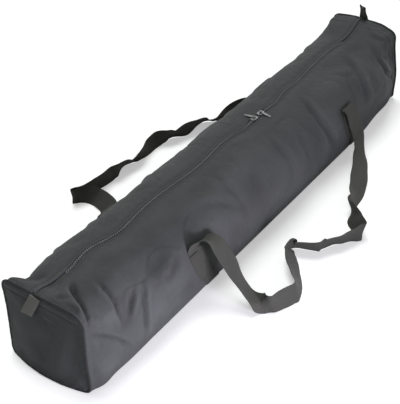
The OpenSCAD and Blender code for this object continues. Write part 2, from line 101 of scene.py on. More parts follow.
class CaseSizes(bpy.types.PropertyGroup):
    """Thicknesses and folds of the padded cloth"""
    fabric: size_property("Outer fabric", "Thickness of the woven outside", 1.2, 0.4, 2)
    foam: size_property("Foam", "Thickness of the padding", 5.0, 2, 8)
    lining: size_property("Lining", "Thickness of the inside cloth", 0.8, 0.3, 2)
    fold_depth: size_property(
        "Fold depth", "Share of the drawn depth of all folds", 1.0, 0, 1.5, subtype="FACTOR")
    grid: size_property("Grid", "Distance between the rows of points on the outside", 3.0, 2, 10)
    seed: bpy.props.IntProperty(name="Seed", description="Start value of the small creases", default=11)


class WebbingSizes(bpy.types.PropertyGroup):
    """Webbing and stitches"""
    width: size_property("Width", "Width of the handle webbing", 40, 30, 46)
    thick: size_property("Thickness", "Thickness of the webbing", 1.6, 1, 3)
    stitch_pitch: size_property("Stitch", "Distance from one stitch to the next", 4.2, 2.5, 8)
    stitch_width: size_property("Thread", "Thickness of the sewing thread", 0.55, 0.3, 1)


class CaseColours(bpy.types.PropertyGroup):
    """Colours of the cloth, webbing and metal"""
    fabric: colour_property("Outer fabric", "Woven outside", (0.046, 0.048, 0.050))
    lining: colour_property("Lining", "Inside cloth", (0.030, 0.032, 0.035))
    foam: colour_property("Foam", "Padding", (0.12, 0.125, 0.13))
    piping: colour_property("Piping", "Rolled edge of the ends", (0.018, 0.019, 0.020))
    webbing: colour_property("Webbing", "Handles and straps", (0.042, 0.042, 0.037))
    # Painted light: the tabs' colour is the webbing's made about three times paler, standing for the light
    # the near tab catches as it faces up, not for wear.
    tab: colour_property("Tabs", "Webbing of the near tab, worn paler", (0.13, 0.132, 0.121))
    thread: colour_property("Thread", "Sewing thread", (0.034, 0.035, 0.036))
    tape: colour_property("Zip tape", "Woven tape of the zip", (0.024, 0.026, 0.027))
    teeth: colour_property("Zip teeth", "Moulded teeth of the zip", (0.13, 0.134, 0.134))
    metal: colour_property("Metal", "Sliders and pulls", (0.27, 0.275, 0.275))
    clamp: colour_property("Stops", "Blackened end stops of the zip", (0.035, 0.036, 0.038))
    floor: colour_property("Floor", "Pale floor under the case", (0.82, 0.82, 0.82))


def smooth(t):
    """3t^2 - 2t^3, held at 0 and 1 outside."""
    t = np.clip(t, 0, 1)
    return t * t * (3 - 2 * t)


def lerp(a, b, t):
    """Straight line from a to b."""
    return a + (b - a) * t


def bell(d, width):
    """exp(-(d / width)^2)."""
    return np.exp(-(d / width) ** 2)


def unit(v):
    """Vectors made one long, along the last axis."""
    return v / np.maximum(np.linalg.norm(v, axis=-1, keepdims=True), 1e-9)


def xyz(x, y, z):
    """Points from coordinates, spread to one shape."""
    return np.stack(np.broadcast_arrays(x, y, z), -1)


def run_along(path):
    """Way along a line of points, from 0."""
    return np.concatenate([[0], np.cumsum(np.linalg.norm(np.diff(path, axis=0), axis=1))])


def sample(at, run, values):
    """Values given along a way, at other places on it."""
    return np.stack([np.interp(at, run, column) for column in values.T], -1)


def knots(x, places):
    """Smooth curve through places: straight lines between them, rounded by a sliding window."""
    given = np.array(places, float)
    dense = np.arange(-600.0, 601.0, 4.0)
    window = np.hanning(11)
    line = np.interp(dense, given[:, 0], given[:, 1])
    padded = np.pad(line, 5, mode="edge")
    return np.interp(x, dense, np.convolve(padded, window / window.sum(), "valid"))


def waves(x, q, rng, count, shortest, longest):
    """Soft random field of spread 1: a sum of plane waves with lengths between two limits."""
    total = np.zeros(np.broadcast(x, q).shape)
    for _ in range(count):
        turn, phase = rng.uniform(0, 2 * np.pi, 2)
        k = 2 * np.pi / np.exp(rng.uniform(np.log(shortest), np.log(longest)))
        total = total + np.sin(k * (np.cos(turn) * x + np.sin(turn) * q) + phase)
    return total / math.sqrt(count / 2)


def crease(x, q, path, depth, width, ridge=0.55):
    """Valley along a line of points, with a soft ridge on its left: with s the signed distance,
    depth (-exp(-(s/w)^2) + ridge exp(-((s - 1.8w)/1.3w)^2)), fading out at both ends of the line."""
    nearest = np.full(np.broadcast(x, q).shape, 1e9)
    at = np.zeros_like(nearest)
    done = 0.0
    for (x0, q0), (x1, q1) in zip(path[:-1], path[1:]):
        dx, dq = x1 - x0, q1 - q0
        length = math.hypot(dx, dq)
        t = np.clip(((x - x0) * dx + (q - q0) * dq) / length ** 2, 0, 1)
        ex, eq = x - x0 - t * dx, q - q0 - t * dq
        far = np.hypot(ex, eq)
        closer = far < np.abs(nearest)
        nearest = np.where(closer, far * np.where(dx * eq - dq * ex < 0, -1, 1), nearest)
        at = np.where(closer, done + t * length, at)
        done += length
    fade = smooth(np.minimum(at, done - at) / (0.32 * done))
    return depth * fade * (ridge * bell(nearest - 1.8 * width, 1.3 * width) - bell(nearest, width))


# Places of the zip beside the middle line, and its rise and fall, as pairs of X and millimetres
ZIP_PLACES = [
    (-555, 16), (-520, 22), (-490, 23), (-464, 20.7), (-425, 27), (-400, 26), (-372, 19), (-336, 15),
    (-280, 19), (-230, 20.5), (-178, 17), (-113, 13), (-77, 13), (-41, 16), (-7, 19), (18, 17), (45, 11),
    (71, 10.5), (96, 12), (146, 12.6), (169, 9.5), (204, 15), (223, 18), (260, 15.5), (300, 18), (343, 21),
    (371, 23), (424, 23.5), (464, 20.5), (490, 15), (520, 13), (555, 14),
]
ZIP_RISE = [
    (-555, 0), (-522, -4), (-495, -2), (-464, 0), (-420, 2.5), (-380, 1), (-336, -2), (-280, 0.5),
    (-200, 1.2), (-113, -1), (-50, 1.5), (20, 0.5), (50, -0.8), (74, 0), (144, 0), (180, -1), (230, 1.5),
    (300, 0.5), (371, 2.2), (424, 1.5), (464, 0), (500, -2.5), (530, -2), (555, 0),
]
# Folds of each side: points of X and of the way up from the fold line, then depth and width
FOLDS = {
    RIGHT: [
        ([(-548, -12), (-545, 8), (-541, 24), (-536, 37), (-516, 58), (-492, 86), (-476, 98)], 8.6, 6),
        ([(-547, 84), (-532, 78), (-517, 64)], 3.0, 5),
        ([(-546, 75), (-545, 61), (-548, 45), (-551, 30)], 3.5, 4),
        ([(-556, 4), (-544, -12), (-526, -25), (-508, -41), (-494, -55), (-480, -73), (-456, -104)],
         4.2, 3.5),
        ([(-472, -42), (-479, -9), (-474, 9), (-471, 33), (-460, 64)], 5.6, 5),
        ([(-424, 8), (-434, -3), (-449, -15), (-466, -40)], 5.4, 4.5),
        ([(-392, 18), (-405, -2), (-420, -23), (-425, -53), (-427, -87), (-430, -114)], 5.2, 5),
        ([(-372, -22), (-341, -24), (-316, -14), (-300, 6)], 4.0, 7),
        ([(230, 90), (219, 72), (208, 48), (195, 23), (191, -6), (210, -47), (256, -104)], 5.0, 6.5),
        ([(66, 62), (50, 20), (52, -18), (64, -74)], 2.6, 7),
        ([(-100, 82), (-122, 25), (-113, -9), (-96, -50)], 2.6, 7),
        ([(440, 90), (426, 79), (394, 34), (374, -5), (366, -50)], 4.5, 8),
        ([(498, 60), (488, 45), (471, 5), (483, -43)], 4.0, 7),
        ([(518, 84), (512, 58), (518, 24)], 3.5, 6),
        ([(-216, 40), (-160, 12), (-120, -22), (-92, -70)], 2.4, 8),
        ([(466, -8), (494, -42), (540, -70)], 3.4, 7),
        ([(122, 28), (112, -14), (126, -64)], 2.2, 7),
        ([(330, 66), (352, 34), (390, 20)], 2.6, 8),
    ],
    LEFT: [
        ([(-488, 62), (-516, 34), (-540, 2)], 4.0, 8),
        ([(-552, -4), (-520, -34), (-494, -70), (-466, -104)], 4.0, 7),
        ([(-440, 4), (-430, -24), (-438, -64)], 4.4, 8),
        ([(-362, 14), (-344, -16), (-358, -58)], 3.6, 8),
        ([(-190, 14), (-176, -16), (-192, -60)], 3.2, 8),
        ([(-58, 12), (-80, -20), (-68, -68)], 3.4, 8),
        ([(88, 10), (110, -28), (96, -82)], 3.4, 8),
        ([(208, 42), (224, -2), (204, -68)], 3.4, 9),
        ([(388, 34), (414, 6), (444, -38)], 3.6, 8),
        ([(544, -2), (512, -30), (482, -78)], 4.2, 8),
        ([(482, 54), (506, 28), (538, 6)], 3.0, 8),
        ([(20, 44), (60, 30), (108, 36)], 2.0, 8),
    ],
}
# Soft swellings and hollows: X, way up, half length, half height, height
SWELLS = {
    RIGHT: [
        (-352, 2, 40, 22, -6), (-466, -40, 14, 10, -4), (-60, 40, 150, 18, 2.2), (20, -60, 170, 40, 3),
        (-380, -66, 60, 34, 3), (420, -50, 60, 34, 2), (300, 40, 60, 24, 3), (-250, 30, 46, 26, -3),
        (-440, 36, 40, 22, 3), (-508, 24, 20, 22, 3), (-520, -108, 34, 44, 6), (-500, -5, 22, 18, 3),
    ],
    LEFT: [
        (0, -60, 170, 40, 2.4), (-300, 10, 60, 26, -2), (420, 10, 40, 18, 2.4), (-420, -10, 40, 26, 2.4),
        (300, 0, 60, 30, -2), (-517, 32, 26, 40, -20),
    ],
}


class CaseShape:
    """Sections of the case in millimetres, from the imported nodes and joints.

    Across, a side runs from the edge of the base (v = 0) over the base corner to the fold (v = 1), and a
    flap from the fold (u = 0) over the shoulder (u = 5) to the zip (u = 6)."""

    # Share of v on the base corner, even margin at the ends, runs of the swell and of the top's drop
    BASE_SHARE = 0.2
    MARGIN = 8.0
    SWELL_RUN = 150.0
    DROP_RUN = {NEAR: 46.0, FAR: 92.0}
    # X where a flap's end parts begin, and corner radii
    SPLIT = 487.0
    TOP_CORNER = {(NEAR, LEFT): 18.0, (NEAR, RIGHT): 24.0, (FAR, LEFT): 15.0, (FAR, RIGHT): 13.0}
    LOW_CORNER = {(NEAR, LEFT): 10.0, (NEAR, RIGHT): 8.0, (FAR, LEFT): 16.0, (FAR, RIGHT): 8.0}
    BASE_CORNER = 20.0
    # Half the gap between the turned edges, what the sliders add to it, what is left of it past the stops
    GAP, SLIDER_GAP, SHUT_GAP = 3.8, 2.6, 0.5
    # X of the stops
    STOPS = 464.0
    # Random fields of the cloth: height, squeeze across, number of waves, shortest and longest wave
    FIELDS = [(1.1, 1.0, 14, 90, 220), (0.45, 0.7, 14, 34, 80), (0.16, 1.0, 16, 11, 26)]
    # Heights in the relief: ridges and valleys of the small creases, puckers and groove at the end seams,
    # band before the far seam, and drags beside the straps; share of the folds kept on the left flap
    RIDGE, VALLEY, PUCKER, SEAM_GROOVE = 0.5, 1.25, 0.8, 2.4
    BAND_GROOVE, BAND_RIDGE, DRAG = 1.5, 0.9, 0.5
    LEFT_SHARE = 0.35
    # Amounts by which the soft case has slumped
    BOW = {NEAR: -17.0, FAR: 9.0}
    CORNER_OUT, CORNER_UP = 4.0, 5.0
    FAR_LEAN, FAR_TUCK, FAR_ARCH, NEAR_SPREAD = 13.0, 9.0, 11.0, 9.0
    LOWEST = 0.25
    # Lips of the zip: turned edge, sewn groove and its place, padding behind it and its gathers, and the
    # ridge that closes the lips past the stops
    LIP_EDGE, LIP_GROOVE, STITCH_ROW, LIP_PADDING, GATHERS = 0.4, 0.5, 5.4, 1.5, 0.35
    LIP_RIDGE = {LEFT: 3.6, RIGHT: 0.3}

    def __init__(self, sizes, webbing):
        low, high = node_box("far_end_piping")
        self.half = high[0]
        self.piping_r = (high[0] - low[0]) / 2
        self.seam = self.half - 2 * self.piping_r
        self.end_y = high[1] - self.piping_r
        self.end_top = high[2] - self.piping_r
        low, high = node_box("left_side_panel")
        self.floor = low[2]
        self.mid_y = high[1]
        self.fold_z = joint_place("left_flap_fold")[2]
        self.fabric = sizes.fabric
        self.foam = sizes.fabric + sizes.foam
        self.wall = self.foam + sizes.lining
        self.tape_z = node_box("left_zip_teeth")[0][2]
        self.mid_top = self.tape_z + self.fabric
        inward, down = self.mid_y - self.end_y, self.mid_top - self.fold_z
        self.shoulder_r = inward + down + math.sqrt(2 * inward * down)
        self.shoulder_y = self.mid_y - self.shoulder_r
        self.shoulder_z = self.mid_top - self.shoulder_r
        self.start = math.asin((self.fold_z - self.shoulder_z) / self.shoulder_r)
        self.shoulder_run = self.shoulder_r * (math.pi / 2 - self.start)
        self.base_r = self.BASE_CORNER
        self.depth = sizes.fold_depth
        self.seed = sizes.seed
        self.grid = sizes.grid
        self.web = webbing.thick
        straps = [node_box(f"{END_NAMES[end]}_girth_strap") for end in (NEAR, FAR)]
        self.strap_half = webbing.width / 2
        self.strap_x = [s[0][0] + self.strap_half for s in straps]
        self.strap_lean = straps[0][1][0] - straps[0][0][0] - webbing.width
        self.strap_top = straps[0][1][2]
        self.sliders = [joint_place(f"{END_NAMES[end]}_pull_swing") for end in (NEAR, FAR)]

    def swell(self, x):
        """Share of the swell from an end to the middle: 1 - (1 - t)^3."""
        t = np.clip((self.seam - np.abs(x) - self.MARGIN) / self.SWELL_RUN, 0, 1)
        return 1 - (1 - t) ** 3

    def drop(self, x):
        """Share of the top's drop from an end to the middle."""
        run = np.where(x < 0, self.DROP_RUN[NEAR], self.DROP_RUN[FAR])
        return smooth((self.seam - np.abs(x) - self.MARGIN) / run)

    def top_corner(self, x, side):
        """Corner radius of the end that a place is nearest to."""
        return np.where(x < 0, self.TOP_CORNER[NEAR, side], self.TOP_CORNER[FAR, side])

    def base_round(self, x, side):
        """Radius of the long bottom edge: the middle's, changing to each end's lower corner."""
        corner = np.where(x < 0, self.LOW_CORNER[NEAR, side], self.LOW_CORNER[FAR, side])
        return lerp(self.base_r, corner, smooth((np.abs(x) - 400) / (self.seam - 405)))

    def zip_gap(self, x):
        """Half of the gap between the turned edges: wide at the sliders, narrow elsewhere, nearly shut past
        the stops."""
        ends = [s[0] for s in self.sliders]
        away = np.maximum(np.maximum(ends[0] - x, x - ends[1]), 0)
        shut = smooth((np.abs(x) - self.STOPS) / 15)
        return lerp(self.GAP + self.SLIDER_GAP * (1 - smooth((away - 7) / 26)), self.SHUT_GAP, shut)

    def zip_y(self, x):
        """Place of the zip: a curve through its places, moved to pass through both sliders."""
        curve = knots(x, ZIP_PLACES)
        ends = np.array([s[0] for s in self.sliders])
        miss = np.array([s[1] for s in self.sliders]) - knots(ends, ZIP_PLACES)
        share = np.interp(x, ends, miss)
        return curve + share * bell(np.maximum(np.abs(x - ends.mean()) - 16, 0), 30)

    def top(self, x):
        """Height of the outside beside the zip, before it slumps."""
        return lerp(self.end_top, self.mid_top, self.drop(x))

    def lean(self, z):
        """How far a sewn strap has leant towards the far end, from its upper end down to a height."""
        return self.strap_lean * np.clip(1 - z / self.strap_top, 0, 1) ** 1.5

    def near_strap(self, x, z, reach):
        """1 on the sewn straps, falling to 0 at a reach beside them."""
        away = np.min([np.abs(x - c - self.lean(z)) for c in self.strap_x], axis=0)
        return 1 - smooth((away - self.strap_half) / reach)

    def relief(self, x, q, side):
        """How far the outside stands out: drawn folds, soft swellings, meandering creases, and puckers
        along the end seams, all calm at the base, at the straps' upper ends and at the end seams."""
        rng = np.random.default_rng(self.seed + (side > 0))
        h = np.zeros(np.broadcast(x, q).shape)
        for place, up, length, height, rise in SWELLS[side]:
            h = h + rise * bell(x - place, length) * bell(q - up, height)
        for path, depth, width in FOLDS[side]:
            h = h + crease(x, q, path, depth, width)
        if side == LEFT:
            h = h * lerp(1, self.LEFT_SHARE, smooth((q + 12) / 26))
        for height, squeeze, *lengths in self.FIELDS:
            h = h + height * waves(x, q * squeeze, rng, *lengths)
        patch = smooth(0.5 + 0.7 * waves(x, q, rng, 8, 90, 200))
        line = waves(x, q * 0.8, rng, 9, 60, 130)
        h = h + patch * (self.RIDGE * bell(line - 0.25, 0.3) - self.VALLEY * bell(line, 0.16))
        ends = self.seam - np.abs(x)
        pucker = np.sin(q / 2.9 + 1.3 * waves(x * 0, q, rng, 5, 30, 90))
        h = h * smooth(ends / 16) + self.PUCKER * pucker * np.exp(-ends / 13) * smooth(ends / 5)
        h = h - self.SEAM_GROOVE * bell(ends - 2, 3.5) * smooth((q - 10) / 20) * smooth(-x / 60)
        band = self.BAND_GROOVE * bell(ends - 27, 3.2) - self.BAND_RIDGE * bell(ends - 21, 3.0)
        h = h - band * smooth((x - 400) / 60)
        drag = np.sin(x / 5.2 + 0.6 * waves(x, q * 0, rng, 4, 30, 80)) * bell(q + 14, 22)
        z = self.fold_z + q
        h = h + self.DRAG * drag * self.near_strap(x, z, 22) * (1 - self.near_strap(x, z, 6))
        sewn = self.near_strap(x, z, 22) * smooth((q + 95) / 30) * smooth((14 - q) / 22)
        return self.depth * h * (1 - sewn) * smooth((q + 128) / 34)

    def slump(self, p):
        """Shift shared by all soft pieces: the base lies down between the straps, the lower ends bow out,
        the near end's upper left corner stands up and its lower right corner spreads, the far end's top is
        arched and leans, its lower right edge is drawn in, and the zip line rises and falls. Nothing goes
        below the floor."""
        x, y, z = p[..., 0], p[..., 1], p[..., 2]
        low = np.clip(1 - z / 130, 0, 1) ** 1.4
        across = np.clip(1 - (y / (self.end_y + 4)) ** 2, 0, 1)
        bow = self.BOW[NEAR] * smooth((-x - 420) / 135) + self.BOW[FAR] * smooth((x - 420) / 135)
        lie = -(self.web - 0.3) * (1 - self.near_strap(x, z, 18)) * bell(z - self.floor, 14)
        corner = bell(x + self.half, 46) * bell(y - self.end_y, 38) * bell(z - self.end_top, 40)
        line = knots(x, ZIP_RISE) * smooth((z - 128) / 22) * bell(y - self.zip_y(x), 44)
        lean = self.FAR_LEAN * smooth((x - 425) / 125) * smooth((z - 50) / 110) * smooth(-y / 70)
        tuck = self.FAR_TUCK * bell(x - 468, 62) * smooth((75 - z) / 60) * smooth(-y / 60)
        spread = self.NEAR_SPREAD * bell(x + 536, 25) * smooth((80 - z) / 70) * smooth(-y / 60)
        arch = smooth((y + 96) / 60) * (1 - 0.65 * smooth((y - 25) / 60))
        arch = self.FAR_ARCH * arch * smooth((x - 478) / 72) * smooth((z - 95) / 60)
        x = x + bow * low * across - self.CORNER_OUT * corner
        z = np.maximum(z + lie + self.CORNER_UP * corner + line + arch, self.LOWEST)
        return np.stack([x, y + lean + tuck - spread, z], -1)

    def lifted(self, x, y, z, tilt, h, side):
        """Points of one side, stood out by h along the section's normal at that tilt, then slumped."""
        return self.slump(xyz(x, side * (y + np.cos(tilt) * h), z + np.sin(tilt) * h))

    def side(self, x, v, depth, side):
        """Side at a depth below the outside: a quarter round at the base, then up to the fold, each height
        blended from the flat end to the rounded middle. Returns points, way up and relief."""
        x, v = np.broadcast_arrays(np.asarray(x, float), np.asarray(v, float))
        share = self.swell(x)
        turn = math.pi / 2 * (np.clip(v / self.BASE_SHARE, 0, 1) - 1)
        base_r = self.base_round(x, side)
        low = self.floor + base_r
        rise = lerp(low, self.fold_z, np.clip((v - self.BASE_SHARE) / (1 - self.BASE_SHARE), 0, 1))
        up = np.clip(rise - self.shoulder_z, 0, None)
        wall = np.where(up > 0, self.shoulder_y + np.sqrt((self.shoulder_r - depth) ** 2 - up ** 2),
                        self.mid_y - depth)
        arc = v < self.BASE_SHARE
        arc_y = lerp(self.end_y, self.mid_y, share) - base_r + (base_r - depth) * np.cos(turn)
        y = np.where(arc, arc_y, lerp(self.end_y - depth, wall, share))
        z = np.where(arc, low + (base_r - depth) * np.sin(turn), rise)
        q = np.where(arc, low - self.fold_z + base_r * turn, rise - self.fold_z)
        tilt = np.where(arc, turn, np.arcsin(np.clip(up / self.shoulder_r, 0, 1)))
        h = self.relief(x, q, side)
        return self.lifted(x, y, z, tilt, h, side), q, h

    def side_height(self, v):
        """Height of a place v on the side, away from the ends."""
        low = self.floor + self.base_r
        arc = low - self.base_r * np.sin(math.pi / 2 * (1 - np.clip(v / self.BASE_SHARE, 0, 1)))
        wall = lerp(low, self.fold_z, (v - self.BASE_SHARE) / (1 - self.BASE_SHARE))
        return np.where(v < self.BASE_SHARE, arc, wall)

    def side_share(self, z):
        """v of a height on the side."""
        low = self.floor + self.base_r
        return lerp(self.BASE_SHARE, 1, (z - low) / (self.fold_z - low))

    def flat_run(self, x, side, gap):
        """Width of the flat top between the shoulder and a gap beside the zip."""
        shoulder = lerp(self.end_y - self.top_corner(x, side), self.shoulder_y, self.drop(x))
        return shoulder - side * self.zip_y(x) - gap

    def flap(self, x, u, depth, side, gap, lip=False):
        """Flap at a depth below the outside, up to a gap beside the zip: the round corner of the end blended
        into the wide shoulder of the middle, then flat. lip adds the turned edge, its sewn groove and the
        padding's swelling. Returns points, way up and relief."""
        x, u = np.broadcast_arrays(np.asarray(x, float), np.asarray(u, float))
        share = self.drop(x)
        edge = side * self.zip_y(x) + gap
        flat = np.clip(u - 5, 0, 1)
        turn = math.pi / 2 * np.clip((u - 1) / 4, 0, 1)
        corner = self.top_corner(x, side)
        end_y = self.end_y - corner + (corner - depth) * np.cos(turn)
        end_z = np.where(u < 1, lerp(self.fold_z, self.end_top - corner, u),
                         self.end_top - corner + (corner - depth) * np.sin(turn))
        tilt = lerp(self.start, math.pi / 2, np.clip(u / 5, 0, 1))
        mid_y = self.shoulder_y + (self.shoulder_r - depth) * np.cos(tilt)
        mid_z = self.shoulder_z + (self.shoulder_r - depth) * np.sin(tilt)
        y = lerp(lerp(end_y, mid_y, share), edge, flat)
        z = lerp(end_z, mid_z, share)
        q = self.shoulder_run * np.clip(u / 5, 0, 1) + np.maximum(self.shoulder_y - edge, 0) * flat
        off = y - side * self.zip_y(x)
        h = self.relief(x, q, side) * smooth((off - 8) / 26)
        middle = (self.sliders[0][0] + self.sliders[1][0]) / 2
        pulls = bell(np.maximum(np.abs(x - middle) - 22, 0), 14) * bell(np.maximum(off - 26, 0), 12)
        h = h * (1 - pulls)
        if lip:
            rim = off - gap
            h = h + self.LIP_EDGE * bell(rim - 1.4, 1.6) - self.LIP_GROOVE * bell(rim - self.STITCH_ROW, 1.0)
            rise = self.LIP_PADDING * smooth((rim - 6) / 9) * bell(np.maximum(rim - 15, 0), 18)
            h = h + rise * (1 - pulls)
            h = h + self.LIP_RIDGE[side] * smooth((np.abs(x) - 462) / 16) * bell(rim - 3, 3.2)
            shirr = self.GATHERS * np.sin(x / 3.4 + 1.2 * np.sin(x / 47))
            h = h + shirr * smooth((rim - 5) / 4) * bell(np.maximum(rim - 9, 0), 9) * (1 - pulls)
        return self.lifted(x, y, z, tilt, h, side), q, h


def quads(rows, columns, first=0):
    """Faces of a grid of points, row by row."""
    i, j = np.meshgrid(np.arange(rows - 1), np.arange(columns - 1), indexing="ij")
    a = first + i * columns + j
    return np.stack([a, a + columns, a + columns + 1, a + 1], -1).reshape(-1, 4)


def strip(ring_a, ring_b):
    """Faces between two lines of point numbers."""
    return np.stack([ring_a[:-1], ring_a[1:], ring_b[1:], ring_b[:-1]], -1)


def outward(points, faces):
    """Faces turned so that the closed mesh's volume, the sum of its tetrahedra, is positive."""
    corners = points[np.concatenate([faces[:, [0, k, k + 1]] for k in range(1, faces.shape[1] - 1)])]
    volume = np.einsum("ij,ij->i", corners[:, 0], np.cross(corners[:, 1], corners[:, 2])).sum()
    return faces if volume > 0 else faces[:, ::-1]


def cloth_map(along, across):
    """Flat place of each point on the cloth, in millimetres."""
    return np.stack(np.broadcast_arrays(along, across), -1).reshape(-1, 2)


def make_piece(name, points, faces, finish, uv=None, tone=None, sharp=42):
    """Mesh object from arrays of points in millimetres and faces, with a cloth map in metres and a tone."""
    points = points.reshape(-1, 3)
    mesh = bpy.data.meshes.new(name)
    mesh.vertices.add(len(points))
    mesh.vertices.foreach_set("co", (points * MM).astype(np.float32).ravel())
    mesh.loops.add(faces.size)
    mesh.loops.foreach_set("vertex_index", faces.astype(np.int32).ravel())
    mesh.polygons.add(len(faces))
    mesh.polygons.foreach_set("loop_start", np.arange(0, faces.size, faces.shape[1], dtype=np.int32))
    if uv is not None:
        layer = mesh.uv_layers.new(name="cloth")
        layer.data.foreach_set("uv", (uv.reshape(-1, 2)[faces.ravel()] * MM).astype(np.float32).ravel())
    # The tone is the cloth's relief height; the woven cloth reads it to paint shade into the valleys and a
    # paler highlight onto the ridges.
    if tone is not None:
        attribute = mesh.attributes.new("tone", "FLOAT", "POINT")
        attribute.data.foreach_set("value", tone.astype(np.float32).ravel())
    mesh.update(calc_edges=True)
    if mesh.validate():
        raise RuntimeError(f"{name}: the mesh had faulty faces")
    mesh.polygons.foreach_set("use_smooth", np.ones(len(faces), bool))
    mesh.set_sharp_from_angle(angle=math.radians(sharp))
    mesh.materials.append(finish_of(finish))
    piece = bpy.data.objects.new(name, mesh)
    bpy.context.scene.collection.objects.link(piece)
    return piece


def make_shell(name, outer, inner, finish, along, across, tone=None):
    """Closed layer between two grids of points, with rims on all four edges."""
    rows, columns = outer.shape[:2]
    count = rows * columns
    number = np.arange(count).reshape(rows, columns)
    faces = [quads(rows, columns), quads(rows, columns, count)[:, ::-1]]
    for line in (number[0], number[:, -1], number[-1, ::-1], number[::-1, 0]):
        faces.append(strip(line, line + count))
    points = np.concatenate([outer.reshape(-1, 3), inner.reshape(-1, 3)])
    flat = cloth_map(along, across)
    shade = np.zeros((rows, columns)) if tone is None else tone
    return make_piece(name, points, outward(points, np.concatenate(faces)), finish,
                      np.concatenate([flat, flat]), np.concatenate([shade.ravel(), shade.ravel() * 0]))


def make_tube(name, rings, finish, along, across, closed=False, sharp=60):
    """Skin over rings of points; open ends are closed by flat quads across the ring."""
    rows, columns = rings.shape[:2]
    number = np.arange(rows * columns).reshape(rows, columns)
    number = np.concatenate([number, number[:, :1]], 1)
    if closed:
        number = np.concatenate([number, number[:1]], 0)
    faces = np.stack([number[:-1, :-1], number[1:, :-1], number[1:, 1:], number[:-1, 1:]], -1).reshape(-1, 4)
    if not closed:
        half = columns // 2
        k = np.arange(half - 1)
        for ring, flip in ((number[0], 1), (number[-1], -1)):
            cap = np.stack([ring[k], ring[k + 1], ring[columns - 2 - k], ring[columns - 1 - k]], -1)
            faces = np.concatenate([faces, cap[:, ::flip]])
    points = rings.reshape(-1, 3)
    flat = cloth_map(along, across)
    return make_piece(name, points, outward(points, faces), finish, flat, sharp=sharp)


def ribbon_frame(path, width_way):
    """Ways of a ribbon's width and normal along a path, from a rough way of its width."""
    tangent = unit(np.gradient(path, axis=0))
    wide = unit(width_way - (width_way * tangent).sum(-1, keepdims=True) * tangent)
    return wide, np.cross(tangent, wide)


def ribbon_rings(path, width_way, half_width, thick, columns=9):
    """Rings of a flat ribbon with rounded rims: across s in [-1, 1] and half thickness t (1 - s^8)^(1/2),
    about a path with the ribbon's width along width_way."""
    wide, normal = ribbon_frame(path, width_way)
    s = np.sin(np.linspace(-np.pi / 2, np.pi / 2, columns))
    t = thick / 2 * np.sqrt(np.clip(1 - s ** 8, 0.05, 1))
    s, t = np.concatenate([s, s[::-1]]), np.concatenate([t, -t[::-1]])
    rings = path[:, None] + s[:, None] * half_width * wide[:, None] + t[:, None] * normal[:, None]
    return rings, run_along(path)[:, None], (s * half_width)[None], normal


def sew(name, on, off):
    """Row of stitches along a path, half sunk in it and stood up towards a second path: spindles of ten
    points, four sided."""
    webbing = bpy.context.scene.case_webbing
    pitch, half = webbing.stitch_pitch, webbing.stitch_width / 2
    run = run_along(on)
    count = max(int(run[-1] / pitch), 1)
    at = (np.arange(count) + 0.5) * run[-1] / count
    ahead = unit(sample(at + 0.5, run, on) - sample(at - 0.5, run, on))
    up = unit(sample(at, run, off - on))
    beside = unit(np.cross(up, ahead))
    reach = 0.4 * pitch
    a = np.array([-1, -0.6, -0.6, -0.6, -0.6, 0.6, 0.6, 0.6, 0.6, 1]) * reach
    b = np.array([0, 1, 0, -1, 0, 1, 0, -1, 0, 0]) * half
    c = np.array([-0.3, 0, 1, 0, -1, 0, 1, 0, -1, -0.3]) * half
    points = sample(at, run, on)[:, None]
    for share, way in ((a, ahead), (b, beside), (c, up)):
        points = points + share[:, None] * way[:, None]
    around = [(1, 2), (2, 3), (3, 4), (4, 1)]
    one = [(0, p, r) for p, r in around] + [(9, r + 4, p + 4) for p, r in around]
    one += [(p, p + 4, r + 4) for p, r in around] + [(p, r + 4, r) for p, r in around]
    faces = (np.array(one)[None] + 10 * np.arange(count)[:, None, None]).reshape(-1, 3)
    faces = outward(points.reshape(-1, 3), faces)
    return make_piece(name, points, faces, "thread", sharp=180)


class Wire:
    """Socket of a material's node tree; maths on it adds the nodes."""

    def __init__(self, tree, socket=None):
        self.tree = tree
        self.socket = socket

    def node(self, kind, settings=None, out=0, **sockets):
        """Adds a node: its settings first, then values or links for its sockets, by name or as i0, i1."""
        made = self.tree.nodes.new(kind)
        for key, value in (settings or {}).items():
            setattr(made, key, value)
        for key, value in sockets.items():
            by_number = key[0] == "i" and key[1:].isdigit()
            target = made.inputs[int(key[1:])] if by_number else made.inputs[key.replace("_", " ")]
            if isinstance(value, Wire):
                self.tree.links.new(value.socket, target)
            else:
                target.default_value = value
        return Wire(self.tree, made.outputs[out] if made.outputs else None)

    def maths(self, operation, *values):
        """Math node on values or wires."""
        sockets = {f"i{k}": value for k, value in enumerate(values)}
        return self.node("ShaderNodeMath", {"operation": operation}, **sockets)

    def __add__(self, other):
        return self.maths("ADD", self, other)

    def __sub__(self, other):
        return self.maths("SUBTRACT", self, other)

    def __mul__(self, other):
        return self.maths("MULTIPLY", self, other)

    __radd__ = __add__

    def sine(self):
        return self.maths("SINE", self)

    def positive(self):
        return self.maths("ABSOLUTE", self)

    def clipped(self):
        return self.node("ShaderNodeClamp", Value=self)

    def mix(self, a, b):
        """Colour from a to b by this wire."""
        return self.node("ShaderNodeMix", {"data_type": "RGBA"}, out=2, i0=self, i6=a, i7=b)


def shade(colour, factor):
    """Colour times a factor, with full opacity."""
    return tuple(min(1.0, c * factor) for c in colour) + (1.0,)


def new_material(name):
    """Empty material: returns a wire to add nodes with, and a function that joins up its shader."""
    material = bpy.data.materials.new(name)
    material.use_nodes = True
    material.node_tree.nodes.clear()
    wire = Wire(material.node_tree)

    def close(**sockets):
        shader = wire.node("ShaderNodeBsdfPrincipled", **sockets)
        wire.node("ShaderNodeOutputMaterial", Surface=shader)
        return material
    return wire, close


def cloth_axes(wire):
    """The piece's own cloth map in metres, as two wires."""
    place = wire.node("ShaderNodeUVMap", {"uv_map": "cloth"})
    return (wire.node("ShaderNodeSeparateXYZ", out=0, Vector=place),
            wire.node("ShaderNodeSeparateXYZ", out=1, Vector=place))


